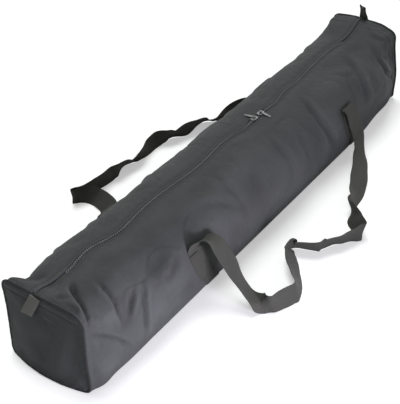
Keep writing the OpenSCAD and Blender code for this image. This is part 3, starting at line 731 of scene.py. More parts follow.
def noise(wire, scale, detail=3.0):
    """Noise from 0 to 1 on the object's own coordinates."""
    place = wire.node("ShaderNodeTexCoord", out=3)
    return wire.node("ShaderNodeTexNoise", Vector=place, Scale=scale, Detail=detail)


def bump(wire, height, strength, distance):
    """Normal from a height."""
    return wire.node("ShaderNodeBump", Strength=strength, Distance=distance, Height=height)


def woven_cloth(name, colour, thread=0.0013, relief=0.35, sheen=0.06, rough=0.62):
    """Plain weave: the product of two sines is the over and under of warp and weft. The piece's tone, its
    relief height, paints shade into the folds' valleys and a paler highlight onto their ridges."""
    wire, close = new_material(name)
    u, v = cloth_axes(wire)
    weave = (u * (2 * math.pi / thread)).sine() * (v * (2 * math.pi / thread)).sine()
    tone = wire.node("ShaderNodeAttribute", {"attribute_name": "tone"}, out=2)
    patches, grain = noise(wire, 7.0, 4.0), noise(wire, 260.0, 2.0)
    # Painted shade and highlight: the tone darkens the folds' valleys and pales their ridges.
    mask = (0.5 + tone * 0.09 + (patches - 0.5) * 0.7 + (grain - 0.5) * 0.55 + weave * 0.05).clipped()
    base = mask.mix(shade(colour, 0.66), shade(colour, 1.36))
    rough_wire = rough + (patches - 0.5) * 0.2 + (grain - 0.5) * 0.12
    normal = bump(wire, weave * 0.5 + grain * 0.9, relief, 0.0006)
    return close(Base_Color=base, Roughness=rough_wire, Normal=normal, Sheen_Weight=sheen,
                 Sheen_Roughness=0.45, Specular_IOR_Level=0.18)


def ribbed_webbing(name, colour):
    """Webbing: ribs along its length and a fine herringbone across them."""
    wire, close = new_material(name)
    u, v = cloth_axes(wire)
    ribs = (v * (math.pi / 0.0031)).sine().positive()
    slant = (u * (2 * math.pi / 0.0021) + ribs * 2.2).sine()
    fuzz, patches = noise(wire, 420.0, 2.0), noise(wire, 11.0, 3.0)
    mask = (0.25 + ribs * 0.3 + slant * 0.14 + (fuzz - 0.5) * 0.5 + (patches - 0.5) * 0.6).clipped()
    base = mask.mix(shade(colour, 0.55), shade(colour, 1.5))
    normal = bump(wire, ribs + slant * 0.3 + fuzz * 0.4, 0.55, 0.0007)
    return close(Base_Color=base, Roughness=0.66 + (fuzz - 0.5) * 0.2, Normal=normal, Sheen_Weight=0.05,
                 Specular_IOR_Level=0.2)


def soft_foam(name, colour):
    """Foam: small cells."""
    wire, close = new_material(name)
    place = wire.node("ShaderNodeTexCoord", out=3)
    cells = wire.node("ShaderNodeTexVoronoi", Vector=place, Scale=420.0)
    base = cells.clipped().mix(shade(colour, 0.6), shade(colour, 1.25))
    return close(Base_Color=base, Roughness=0.9, Normal=bump(wire, cells, 0.5, 0.001))


def grained(name, colour, grain, tones, rough, dents, metal=0.0, pits=None):
    """Plastic, metal or thread: a noise of some scale and detail runs from a dark to a pale tone and may
    change the roughness, and dents of a strength and depth follow it or a noise of pits."""
    wire, close = new_material(name)
    patches = noise(wire, *grain)
    height = noise(wire, *pits) if pits else patches
    base = patches.mix(shade(colour, tones[0]), shade(colour, tones[1]))
    worn = rough[0] + patches * rough[1] if len(rough) > 1 else rough[0]
    return close(Base_Color=base, Metallic=metal, Roughness=worn, Normal=bump(wire, height, *dents))


def pale_floor(name, colour, strength):
    """Floor that keeps the shadow and looks white to the camera."""
    wire, _ = new_material(name)
    seen = wire.node("ShaderNodeLightPath", out=0)
    matt = wire.node("ShaderNodeBsdfDiffuse", Color=shade(colour, 1))
    glow = wire.node("ShaderNodeEmission", Color=WHITE, Strength=seen * strength)
    wire.node("ShaderNodeOutputMaterial", Surface=wire.node("ShaderNodeAddShader", i0=matt, i1=glow))
    return bpy.data.materials[name]


# Settings of the metal for grained
METAL = ((240.0, 4.0), (0.62, 1.08), (0.26, 0.26), (0.12, 0.0002), 1.0, (1400.0, 2.0))
# Finishes: what makes each, its name, its colour and its settings
FINISHES = {
    "outer_fabric": (woven_cloth, "woven_nylon", "fabric"),
    "lining": (woven_cloth, "lining_cloth", "lining", 0.0008, 0.2, 0.1, 0.5),
    "piping": (woven_cloth, "rolled_edge", "piping", 0.0012, 0.5, 0.15, 0.6),
    "zip_tape": (woven_cloth, "zip_tape", "tape", 0.0016, 0.6, 0.1, 0.7),
    "foam": (soft_foam, "foam", "foam"),
    "webbing": (ribbed_webbing, "webbing", "webbing"),
    # The tab finish is the webbing with its colour painted paler for the light the near tab catches.
    "tab": (ribbed_webbing, "tab_webbing", "tab"),
    "zip_teeth": (grained, "zip_teeth", "teeth", (160.0, 3.0), (0.7, 1.3), (0.38, 0.2), (0.1, 0.0003)),
    "zip_metal": (grained, "dull_nickel", "metal") + METAL,
    "clamp": (grained, "blackened_metal", "clamp") + METAL,
    "floor": (pale_floor, "pale_floor", "floor", 0.43),
    "thread": (grained, "thread", "thread", (900.0, 1.0), (0.6, 1.6), (0.7,), (0.4, 0.0003)),
}
MADE = {}


def finish_of(slot):
    """Material of a slot, made once."""
    if slot not in MADE:
        make, name, colour, *settings = FINISHES[slot]
        MADE[slot] = make(name, getattr(bpy.context.scene.case_colours, colour), *settings)
    return MADE[slot]


class Step:
    """Operator's part that works out the case's sections and builds pieces round them."""

    def execute(self, context):
        self.build(CaseShape(context.scene.case_sizes, context.scene.case_webbing))
        return {"FINISHED"}


def layers_of(shape):
    """Depths of the two faces of each layer of the padded cloth, and its slot."""
    return {"panel": (0, shape.fabric, "outer_fabric"),
            "foam": (shape.fabric + 0.05, shape.foam - 0.05, "foam"),
            "lining": (shape.foam, shape.wall, "lining")}


def place(piece, slot, nodes=(), body=None):
    """Hides the nodes a finished piece stands for and hangs it on its body. The slot is not used."""
    if nodes:
        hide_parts(*nodes)
    if body:
        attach(piece, body)
    return piece


class CASE_OT_sides(Step, bpy.types.Operator):
    """Both sides and the base: woven outside, foam and lining"""
    bl_idname = "case.sides"
    bl_label = "Sides and base"
    # Ways round the base corner and up the wall, for the number of points
    CORNER_RUN = 32.0
    WALL_RUN = 115.0
    FILL = 0.8

    def build(self, shape):
        x = np.linspace(-shape.seam, shape.seam, int(2 * shape.seam / shape.grid) + 1)[:, None]
        share = shape.BASE_SHARE
        v = np.concatenate([np.linspace(0, share, int(self.CORNER_RUN / shape.grid) + 1)[:-1],
                            np.linspace(share, 1, int(self.WALL_RUN / shape.grid) + 1)])[None]
        for layer, (outside, inside, slot) in layers_of(shape).items():
            sheets = {}
            for side, name in SIDE_NAMES.items():
                outer, q, h = shape.side(x, v, outside, side)
                sheets[f"{name}_side_{layer}"] = (outer, shape.side(x, v, inside, side)[0], q, h)
            sheets[f"base_{layer}"] = self.base(shape, x, outside, inside)
            for node, (outer, inner, across, tone) in sheets.items():
                piece = make_shell(f"{node}_cloth", outer, inner, slot, x, across, tone)
                place(piece, slot, [node], "case_body")
                layer == "foam"

    def base(self, shape, x, *depths):
        """Flat strip between the lower edges of both sides, lying down between the straps."""
        half = lerp(shape.end_y, shape.mid_y, shape.swell(x))
        edges = [half - shape.base_round(x, side) for side in (RIGHT, LEFT)]
        y = lerp(-edges[0], edges[1], np.linspace(0, 1, 41)[None])
        outer, inner = [shape.slump(xyz(x, y, shape.floor + depth)) for depth in depths]
        return outer, inner, y, None


class CASE_OT_flaps(Step, bpy.types.Operator):
    """Both top flaps, each as a middle and two ends that meet the end panels"""
    bl_idname = "case.flaps"
    bl_label = "Top flaps"
    # Ways over the shoulder and the flat top, for the number of points
    SHOULDER_RUN = 54.0
    FLAT_RUN = 60.0
    # Gap between the padding and the zip, and reach of the turned-up lining
    PADDING = 16.0
    TURN = 24.0
    FILL = 0.8

    def build(self, shape):
        u = np.concatenate([np.linspace(0, 5, int(self.SHOULDER_RUN / shape.grid) + 1)[:-1],
                            5 + np.linspace(0, 1, int(self.FLAT_RUN / shape.grid) + 1) ** 0.75])[None]
        for layer, (outside, inside, slot) in layers_of(shape).items():
            for side, name in SIDE_NAMES.items():
                for part, x in flap_parts(shape, shape.grid).items():
                    x = x[:, None]
                    edge = shape.zip_gap(x) if layer == "panel" else self.PADDING
                    outer, q, h = shape.flap(x, u, outside, side, edge, layer == "panel")
                    inner = shape.flap(x, u, inside, side, edge)[0]
                    piece = make_shell(f"{name}_flap_{layer}_{part}", outer, inner, slot, x, q, h)
                    place(piece, slot, [f"{name}_flap_{layer}"])
                    bend_flap(shape, piece, side, part)
                    layer == "foam"
        for side, name in SIDE_NAMES.items():
            for end, word in END_NAMES.items():
                self.turned_edge(shape, side, end, f"{name}_side_lining_{word}_turn")

    def turned_edge(self, shape, side, end, name):
        """Lining turned up inside a flap's end, which closes that corner. The line that its upper edge would
        twist about with the flap is worked out but not used."""
        x = end * np.linspace(shape.SPLIT - 16, shape.seam - shape.wall - 3, 30)[:, None]
        u = np.linspace(0, 2.7, 12)[None]
        outer, q, h = shape.flap(x, u, shape.wall + 0.4, side, self.PADDING)
        inner = shape.flap(x, u, shape.wall + 1.2, side, self.PADDING)[0]
        piece = make_shell(name, outer, inner, "lining", x, q, h)
        place(piece, "lining")
        flap = f"{SIDE_NAMES[side]}_flap"
        start = joint_place(f"{flap}_fold") * [0, 1, 1] + [end * shape.SPLIT, 0, 0]
        slope = np.array([-end / (shape.seam - shape.SPLIT), -side * 0.7 / self.TURN, 0.7 / self.TURN])
        stop = start + slope / (slope ** 2).sum()
        tuple(start * MM)
        tuple(stop * MM)
        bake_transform(piece)


def flap_parts(shape, step):
    """X of the middle of a flap and of its two ends."""
    count = int(2 * shape.SPLIT / step) + 1
    ends = int((shape.seam - shape.SPLIT) / min(step, 3)) + 2
    return {"middle": np.linspace(-shape.SPLIT, shape.SPLIT, count),
            "near": np.linspace(-shape.seam, -shape.SPLIT, ends),
            "far": np.linspace(shape.SPLIT, shape.seam, ends)}


def bend_flap(shape, piece, side, part):
    """Works out the fold line of a flap's middle, or the line from the end seam to the middle for its ends,
    which is not used, and bakes the piece's place into its mesh.
    """
    flap = f"{SIDE_NAMES[side]}_flap"
    fold = joint_place(f"{flap}_fold")
    if part == "middle":
        start, end = fold, fold + np.array([0, -side * 6.0, 6.0])
    else:
        sign = NEAR if part == "near" else FAR
        start, end = fold * [0, 1, 1], fold * [0, 1, 1]
        start[0], end[0] = sign * (shape.seam - 2), sign * shape.SPLIT
    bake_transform(piece)


class CASE_OT_ends(Step, bpy.types.Operator):
    """End panels with their padding, lining, sewn band and piping"""
    bl_idname = "case.ends"
    bl_label = "Ends"
    # Depth below the piping, clearance inside the seam, and distance between points
    SUNK = 1.25
    RIM = 0.4
    STEPS = {"panel": 2.5, "foam": 7, "lining": 6}
    FILL = 0.7

    def build(self, shape):
        for end, name in END_NAMES.items():
            for layer, (outside, inside, slot) in layers_of(shape).items():
                form = (self.RIM if layer == "panel" else shape.wall + 0.3, self.STEPS[layer])
                outer, y, z, h = end_grid(shape, end, self.SUNK + outside, *form, layer == "panel")
                inner = end_grid(shape, end, self.SUNK + inside, *form, False)[0]
                piece = make_shell(f"{name}_end_{layer}_cloth", outer, inner, slot, y, z, h)
                place(piece, slot, [f"{name}_end_{layer}"], "case_body")
                layer == "foam"
            self.piping(shape, end, name)

    def piping(self, shape, end, name):
        """Tube along the rounded rectangle of the end seam, its radius swelling a little along its way."""
        path, run = end_outline(shape, end, 1.5)
        path = shape.slump(np.column_stack([np.full(len(path), end * (shape.half - shape.piping_r)), path]))
        tangent = unit(np.roll(path, -1, 0) - np.roll(path, 1, 0))
        first = unit(np.array([1.0, 0, 0]) - tangent[:, :1] * tangent)
        second = np.cross(tangent, first)
        a = np.linspace(0, 2 * np.pi, 12, endpoint=False)[None, :, None]
        r = shape.piping_r * (1 + 0.05 * np.sin(run / 6) + 0.03 * np.sin(run / 2.3))[:, None, None]
        rings = path[:, None] + r * (np.cos(a) * first[:, None] + np.sin(a) * second[:, None])
        piece = make_tube(f"{name}_end_piping_roll", rings, "piping", run[:, None],
                          a[:, :, 0] * shape.piping_r, closed=True)
        place(piece, "piping", [f"{name}_end_piping"], "case_body")


def end_outline(shape, end, step):
    """Closed rounded rectangle of the end seam as Y and Z, with the way along it."""
    low = shape.floor + shape.piping_r
    turn = np.radians(np.linspace(0, 90, 13))
    raw = []
    for side, upper, first in ((LEFT, False, -90), (LEFT, True, 0), (RIGHT, True, 90), (RIGHT, False, 180)):
        r = (shape.TOP_CORNER if upper else shape.LOW_CORNER)[end, side]
        middle = [side * (shape.end_y - r), shape.end_top - r if upper else low + r]
        angle = math.radians(first) + turn
        raw.append(middle + r * np.column_stack([np.cos(angle), np.sin(angle)]))
    raw = np.concatenate(raw + [raw[0][:1]])
    run = run_along(raw)
    at = np.linspace(0, run[-1], int(run[-1] / step), endpoint=False)
    return sample(at, run, raw), at


# End panels: crown, doubled band and its height, sewn lines, dents and puckers
CROWN, BAND, BAND_HIGH = 4.5, 1.5, 15.0
EDGE_LINE, SEWN_LINE, DENTS, RIM_PUCKER = 0.9, 0.5, 0.9, 0.4


def end_grid(shape, end, depth, inset, step, dressed):
    """Grid of an end panel: rows of height, each as wide as the rounded rectangle there, crowned outwards.
    dressed adds the doubled band under the top edge, its sewn line, puckers and a few soft dents."""
    low, high = shape.floor + shape.piping_r + inset, shape.end_top - inset
    count = int((high - low) / step) + 1
    z = lerp(low, high, 0.5 - 0.5 * np.cos(np.linspace(0, np.pi, count)))[:, None]
    edges = []
    for side in (RIGHT, LEFT):
        r_low = max(shape.LOW_CORNER[end, side] - inset, 1)
        r_top = max(shape.TOP_CORNER[end, side] - inset, 1)
        r = np.where(z < (low + high) / 2, r_low, r_top)
        past = np.maximum(np.maximum(low + r_low - z, z - high + r_top), 0)
        edges.append(shape.end_y - inset - r + np.sqrt(np.clip(r * r - past * past, 0, None)))
    columns = int(2 * shape.end_y / step) + 1
    y = lerp(-edges[0], edges[1], 0.5 + 0.5 * np.sin(np.linspace(-np.pi / 2, np.pi / 2, columns))[None])
    rim = np.minimum(np.minimum(shape.end_y - np.abs(y), shape.end_top - z), z - shape.floor - shape.piping_r)
    crown = CROWN * smooth(rim / 60)
    h = np.zeros_like(y)
    if dressed:
        rng = np.random.default_rng(shape.seed + 5 + end)
        under = shape.end_top - z + 0.5 * np.sin(y / 17)
        h = BAND * smooth((BAND_HIGH - under) / 3) * smooth((under - 1) / 3)
        h = h - EDGE_LINE * bell(under - 15.8, 1.5)
        h = (h - SEWN_LINE * bell(under - 11.5, 0.9)) * smooth((shape.end_y - np.abs(y)) / 14)
        h = h + DENTS * waves(y, z, rng, 12, 45, 120) * smooth(rim / 22)
        h = h + RIM_PUCKER * np.sin((y + z) / 2.8) * bell(rim - 5, 5)
    x = end * (shape.half - depth + crown + h)
    return shape.slump(xyz(x, y, z)), y, np.broadcast_to(z, y.shape), h


class CASE_OT_zip(Step, bpy.types.Operator):
    """Zip tapes, both rows of teeth, end stops, and the metal of the sliders and pulls"""
    bl_idname = "case.zip"
    bl_label = "Zip"
    # Outer and inner edge of a tape beside the zip's middle, and its thickness
    TAPE = (14.4, 1.9)
    THICK = 0.7
    # Distance and height of the teeth, and where the rows end
    PITCH = 5.0
    HIGH = 2.4
    LAST = 478.0
    # Half a slider's length, and how far its post parts the rows
    HALF_SLIDER = 8.0
    POST = 1.4

    def build(self, shape):
        for side, name in SIDE_NAMES.items():
            for part, x in flap_parts(shape, 4).items():
                piece = self.tape(shape, side, name, part, x)
                place(piece, "zip_tape", [f"{name}_zip_tape"])
                if part == "middle":
                    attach(piece, f"{name}_flap")
                else:
                    bend_flap(shape, piece, side, part)
            piece = self.teeth(shape, side, name)
            place(piece, "zip_teeth", [f"{name}_zip_teeth"], f"{name}_flap")
        for end, name in END_NAMES.items():
            piece = self.stop(shape, end, name)
            place(piece, "zip_metal", [f"{name}_zip_stop"], "left_flap" if end == NEAR else "right_flap")
            for node in (f"{name}_slider", f"{name}_pull"):
                metal = frame["nodes"][node]
                metal.data.materials.clear()
                metal.data.materials.append(finish_of("zip_metal"))

    def tape(self, shape, side, name, part, x):
        """Strip beside the chain, under the turned edge of the flap, with a cord along its inner edge."""
        s = np.linspace(0, 1, 9)[None]
        inner = lerp(self.TAPE[1], 0.15, smooth((np.abs(x) - 472) / 8))[:, None]
        y = side * shape.zip_y(x)[:, None] + lerp(self.TAPE[0], inner, s)
        z = shape.top(x)[:, None] - shape.fabric - 0.1 + 0.25 * bell(s - 0.9, 0.08)
        upper, lower = [shape.slump(xyz(x[:, None], side * y, z - d)) for d in (0, self.THICK)]
        return make_shell(f"{name}_zip_tape_{part}", upper, lower, "zip_tape", x[:, None], y)

    def parting(self, shape, x):
        """How far the sliders' posts push the rows apart: smooth over half a slider at both ends."""
        first, last = shape.sliders[0][0] - self.HALF_SLIDER, shape.sliders[1][0] + self.HALF_SLIDER
        return self.POST * smooth(np.minimum(x - first, last - x) / self.HALF_SLIDER)

    def teeth(self, shape, side, name):
        """Row of moulded teeth: blocks with a narrow neck, a wide head and a sloped top."""
        count = int(2 * self.LAST / self.PITCH) - 1
        x = (np.arange(count) - count / 2) * self.PITCH + (self.PITCH / 2 if side == LEFT else 0)
        slope = (shape.zip_y(x + 1) - shape.zip_y(x - 1)) / 2
        out = np.array([-0.45, 0.35, 1.5, 2.9])
        half = np.array([0.95, 1.2, 0.7, 1.25])
        high = np.array([0.72, 1.0, 1.0, 0.7]) * self.HIGH
        along = np.concatenate([-half, -half, half, half])
        across = np.tile(out, 4)
        up = np.concatenate([high * 0, high, high, high * 0])
        px = x[:, None] + along[None]
        py = shape.zip_y(x)[:, None] + slope[:, None] * along[None]
        py = py + side * (across[None] + self.parting(shape, x)[:, None])
        pz = shape.top(px) - shape.fabric + up[None]
        points = shape.slump(np.stack([px, py, pz], -1))
        ring = np.arange(16).reshape(4, 4)
        one = [[ring[a, k], ring[a, k + 1], ring[(a + 1) % 4, k + 1], ring[(a + 1) % 4, k]]
               for a in range(4) for k in range(3)]
        one += [ring[:, 0], ring[::-1, 3]]
        faces = (np.array(one)[None] + 16 * np.arange(count)[:, None, None]).reshape(-1, 4)
        return make_piece(f"{name}_zip_teeth_row", points, outward(points.reshape(-1, 3), faces),
                          "zip_teeth", sharp=35)

    def stop(self, shape, end, name):
        """Pressed metal clamp over the last teeth: a superellipse block, |a|^5 + |b|^5 + |c|^5 = 1."""
        low, high = node_box(f"{name}_zip_stop")
        a = np.linspace(0, 2 * np.pi, 24, endpoint=False)[None]
        b = np.linspace(-np.pi / 2, np.pi / 2, 13)[1:-1][:, None]

        def power(v):
            return np.sign(v) * np.abs(v) ** 0.4
        flat = power(np.cos(b))
        box = xyz(flat * power(np.cos(a)), flat * power(np.sin(a)), power(np.sin(b)))
        middle = (low + high) / 2
        rings = shape.slump(middle + box * ((high - low) / 2) - [0, 0, 1.2])
        return make_tube(f"{name}_zip_stop_clamp", rings, "clamp", a, b)


class CASE_OT_straps(Step, bpy.types.Operator):
    """Webbing sewn round the case under the handles, with its boxes of stitches"""
    bl_idname = "case.straps"
    bl_label = "Girth straps"
    # Way round the case, box of stitches below a strap's top, and the lower end of its rows
    AROUND = 520.0
    BOX_TOP, BOX_LOW, BOX_RIM = 5.0, 38.0, 3.5
    ROW_LOW = 24.0

    def build(self, shape):
        for end, name in END_NAMES.items():
            middle = shape.strap_x[0 if end == NEAR else 1]
            s = np.sin(np.linspace(-np.pi / 2, np.pi / 2, 15))[None]
            x = middle + s * shape.strap_half
            outer = self.loop(shape, x, -shape.web + 0.5 * np.abs(s) ** 12)
            inner = self.loop(shape, x, np.full_like(s, -0.05))
            run = np.linspace(0, self.AROUND, len(outer))[:, None]
            piece = make_shell(f"{name}_girth_webbing", outer, inner, "webbing", run, s * shape.strap_half)
            place(piece, "webbing", [f"{name}_girth_strap"], "case_body")
            for side, side_name in SIDE_NAMES.items():
                self.stitches(shape, middle, side, f"{name}_{side_name}_strap_stitches")

    def loop(self, shape, x, depth):
        """Loop from the left handle's root down, under the case and up to the right one's root."""
        v = np.linspace(0, shape.side_share(shape.strap_top), 60)[:, None]
        leant = x + shape.lean(shape.side_height(v))
        left = shape.side(leant[::-1], v[::-1], depth, LEFT)[0]
        right = shape.side(leant, v, depth, RIGHT)[0]
        edge = shape.mid_y - shape.base_r
        y = np.linspace(edge, -edge, 40)[1:-1][:, None]
        under = shape.slump(xyz(leant[:1], y, shape.floor + depth))
        return np.concatenate([left, under, right])

    def stitches(self, shape, middle, side, name):
        """Box with a cross near the upper end, and a row along both edges down to the base corner."""
        high, low = shape.strap_top - self.BOX_TOP, shape.strap_top - self.BOX_LOW
        w = shape.strap_half - self.BOX_RIM
        a, b, c, d = (-w, high), (w, high), (w, low), (-w, low)
        lines = [(a, b), (b, c), (c, d), (d, a), (a, c), (b, d)]
        lines += [((side_x, low - 1), (side_x, self.ROW_LOW)) for side_x in (-w, w)]
        for number, ((x0, z0), (x1, z1)) in enumerate(lines):
            t = np.linspace(0, 1, 40)
            z = lerp(z0, z1, t)
            x, v = middle + lerp(x0, x1, t) + shape.lean(z), shape.side_share(z)
            on, off = [shape.side(x, v, -shape.web - above, side)[0] for above in (0.05, 1)]
            place(sew(f"{name}_{number}", on, off), "webbing", body="case_body")


FLAT, BACK, EDGE = (1, 0, 0), (-1, 0, 0), (0, 0, 1)
# Routes of the loose handles: share of the way between the straps in percent, distance out from the root,
# height, and the way of the webbing's width along, outwards and up. No height is the root's, and one below 0
# counts from there.
RIGHT_ROUTE = [
    (0, 0, None, FLAT), (0.2, -2.5, 122.5, FLAT), (0.8, -2, 129, (0.98, 0, -0.15)),
    (2, 3, 134, (0.95, 0, -0.3)), (3.2, 10, 136.5, (0.94, 0, -0.34)), (4.3, 18, 133.5, (0.96, 0, -0.28)),
    (5.1, 26, 126, (0.98, 0, -0.2)), (5.7, 34, 114, (0.99, 0, -0.12)), (6.1, 43, 99, FLAT),
    (6.4, 54, 82, (0.99, 0, -0.1)), (6.5, 66, 63, (0.94, -0.1, -0.28)), (6.5, 80, 46, (0.9, -0.15, -0.4)),
    (6.7, 94, 32, (0.9, -0.2, -0.3)), (7.1, 108, 23, (0.8, -0.2, 0.15)), (7.6, 121, 20, (0.2, -0.2, 0.92)),
    (9.2, 134, 20, (-0.3, -0.3, 0.9)), (12.6, 142, 20, (-0.1, -0.3, 0.95)),
    (16.8, 150, 20, (0, -0.35, 0.94)), (18.6, 153, 20, (0, -0.4, 0.9)),
    (21.4, 147, 19, (-0.4, -0.25, 0.85)), (25.8, 128, 16, (-0.7, -0.1, 0.7)),
    (30.2, 107, 15, (-0.76, -0.1, 0.64)), (34.5, 88, 15, (-0.76, -0.06, 0.64)),
    (37, 77, 15, (-0.72, 0.1, 0.68)), (39.5, 84, 18, (-0.5, 0.2, 0.83)),
    (42.5, 119, 19, (-0.4, 0.13, 0.9)), (45.2, 127, 19, (-0.5, 0.17, 0.84)),
    (48.5, 137, 19, (-0.53, 0.17, 0.83)), (51.3, 148, 19, (-0.46, 0.12, 0.87)),
    (54.8, 158, 20, (-0.3, 0.07, 0.95)), (58.6, 170, 20, (0.3, -0.1, 0.94)),
    (60.5, 163, 20, (0.2, 0.3, 0.95)), (64.4, 136, 16, (-0.05, 0.75, 0.65)),
    (69.9, 110, 16, (-0.7, 0.15, 0.68)), (73.8, 104, 14, (-0.83, -0.08, 0.55)),
    (80.4, 93, 13, (-0.85, -0.3, 0.42)), (85.6, 82, 13, (-0.84, -0.38, 0.38)),
    (94, 61, 12, (-0.93, -0.16, 0.3)), (100.5, 41, 16, (-0.97, 0, 0.2)), (103.4, 30, 26, (-0.98, 0, 0.18)),
    (104.6, 24, 38, (-0.97, -0.06, 0.22)), (105, 18, 54, (-0.97, -0.1, 0.15)),
    (104, 15, 72, (-0.98, -0.05, 0.1)), (102.4, 13, 90, BACK), (101, 12, 107, BACK),
    (100.2, 9.5, 119, BACK), (99.8, 5, 126, BACK), (99.8, 0, 127, BACK), (100, -2.5, 122, BACK),
    (100, 0, None, BACK),
]
LEFT_ROUTE = [
    (0, 0, None, FLAT), (0, 4, -0.4, FLAT), (0, 7.5, -3.5, FLAT), (0.1, 10.5, -9.5, FLAT),
    (0.3, 13, 97, FLAT), (0.9, 16, 78, FLAT), (2, 20, 58, FLAT), (3.8, 26, 38, (0.97, -0.15, 0.1)),
    (6.6, 36, 21, (0.93, -0.3, 0.12)), (10.2, 50, 9, (0.88, -0.45, 0.12)),
    (14.6, 68, 5, (0.85, -0.5, 0.15)), (19.5, 92, 9, (0.8, -0.45, 0.38)),
    (20.8, 112, 13, (0.8, -0.35, 0.48)), (21, 131, 15, (0.72, -0.2, 0.66)),
    (19.7, 146, 18, (0.5, -0.15, 0.85)), (17.4, 157.5, 20, (0.1, -0.2, 0.97)),
    (15.5, 164, 20, (-0.24, -0.06, 0.97)), (15.2, 169, 20, (-0.24, -0.1, 0.97)),
    (17, 170.5, 20, (-0.3, -0.2, 0.95)), (20.5, 165, 19, (-0.4, -0.2, 0.9)),
    (25, 158, 19, (-0.45, -0.15, 0.88)), (29.3, 153, 19, (-0.4, -0.05, 0.9)),
    (34, 151, 20, (-0.17, 0.04, 0.98)), (37.8, 148, 20, (-0.36, -0.15, 0.92)),
    (43.5, 152, 15, (-0.57, -0.49, 0.66)), (48.4, 146, 15, (-0.64, -0.33, 0.7)),
    (52.4, 145, 18, (-0.48, -0.2, 0.85)), (57.8, 149, 20, (-0.08, 0.15, 0.99)),
    (62.6, 149, 20, (-0.15, 0.25, 0.96)), (66.8, 139, 19, (-0.42, -0.14, 0.9)),
    (69.8, 134, 18, (-0.45, -0.4, 0.8)), (74.7, 120, 20, (-0.24, -0.14, 0.96)),
    (79.3, 114, 19, (-0.35, -0.25, 0.9)), (85.4, 110, 15, (-0.63, -0.45, 0.63)),
    (88.5, 95, 15, (-0.6, -0.45, 0.66)), (93, 85, 19, (-0.3, -0.2, 0.93)), (98.5, 80, 20, (-0.1, 0, 1)),
    (103, 70, 20, EDGE), (105.2, 57, 20, (-0.12, 0.05, 0.98)), (106, 43, 23, (-0.4, 0.1, 0.9)),
    (105.8, 32, 33, (-0.66, 0.12, 0.72)), (105, 25, 47, (-0.84, 0.1, 0.5)),
    (103.7, 20, 63, (-0.94, 0.05, 0.28)), (102.2, 16, 80, (-0.99, 0, 0.1)), (100.8, 13, 97, BACK),
    (100.2, 10.5, -9.5, BACK), (100, 7.5, -3.5, BACK), (100, 4, -0.4, BACK), (100, 0, None, BACK),
]


def through(points, steps):
    """Curve through points: the cubic 0.5 (2b + (c-a)t + (2a-5b+4c-d)t^2 + (3b-a-3c+d)t^3) on each span."""
    last = len(points) - 1
    k = np.repeat(np.arange(last), steps)
    t = np.tile(np.arange(steps) / steps, last)[:, None]
    a, b = points[np.maximum(k - 1, 0)], points[k]
    c, d = points[k + 1], points[np.minimum(k + 2, last)]
    square, cube = 2 * a - 5 * b + 4 * c - d, 3 * b - a - 3 * c + d
    cubic = 0.5 * (2 * b + (c - a) * t + square * t ** 2 + cube * t ** 3)
    return np.concatenate([cubic, points[-1:]])


class CASE_OT_handles(Step, bpy.types.Operator):
    """Both loose webbing handles, lying on edge in their folds beside the case"""
    bl_idname = "case.handles"
    bl_label = "Handles"
    # Where a bend at a root would start and how far it would reach, worked out but not used, and the waves of
    # the rims and of the face
    BEND_START, BEND_OUT, BEND_DOWN = 3.0, 15.0, 26.0
    RIM_WAVE, FACE_WAVE = 1.1, 0.7

    def build(self, shape):
        for side, route in ((RIGHT, RIGHT_ROUTE), (LEFT, LEFT_ROUTE)):
            name = SIDE_NAMES[side]
            piece = self.handle(shape, side, name, route)
            place(piece, "webbing", [f"{name}_handle"])
            start = joint_place(f"{name}_handle_lift") + [0, side * self.BEND_START, self.BEND_START]
            end = start + [0, side * self.BEND_OUT, -self.BEND_DOWN]
            tuple(start * MM)
            tuple(end * MM)
            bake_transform(piece)

    def handle(self, shape, side, name, route):
        """Ribbon along the route, raised where it would reach through the floor, its rims a little wavy."""
        root = joint_place(f"{name}_handle_lift")
        rows = np.array([(s, o, root[2] if z is None else (z if z >= 0 else root[2] + z)) + tuple(w)
                         for s, o, z, w in route], float)
        place_xyz = np.column_stack([lerp(shape.strap_x[0], shape.strap_x[1], rows[:, 0] / 100),
                                     side * (abs(root[1]) + rows[:, 1]), rows[:, 2]])
        path = through(place_xyz, 10)
        way = through(rows[:, 3:] * [1, side, 1], 10)
        way, normal = ribbon_frame(path, way)
        reach = np.abs(way[:, 2]) * shape.strap_half + np.abs(normal[:, 2]) * shape.web / 2
        path[:, 2] += np.maximum(reach - path[:, 2], 0)
        rings, run, across, normal = ribbon_rings(path, way, shape.strap_half, shape.web)
        calm = smooth(np.minimum(run, run[-1] - run) / 120)
        wave = self.RIM_WAVE * np.sin(run / 21) * (across / shape.strap_half)
        wave = wave + self.FACE_WAVE * np.sin(run / 9 + across / 9)
        rings = rings + (calm * wave)[..., None] * normal[:, None] * [1, 1, 0]
        return make_tube(f"{name}_handle_webbing", rings, "webbing", run, across)


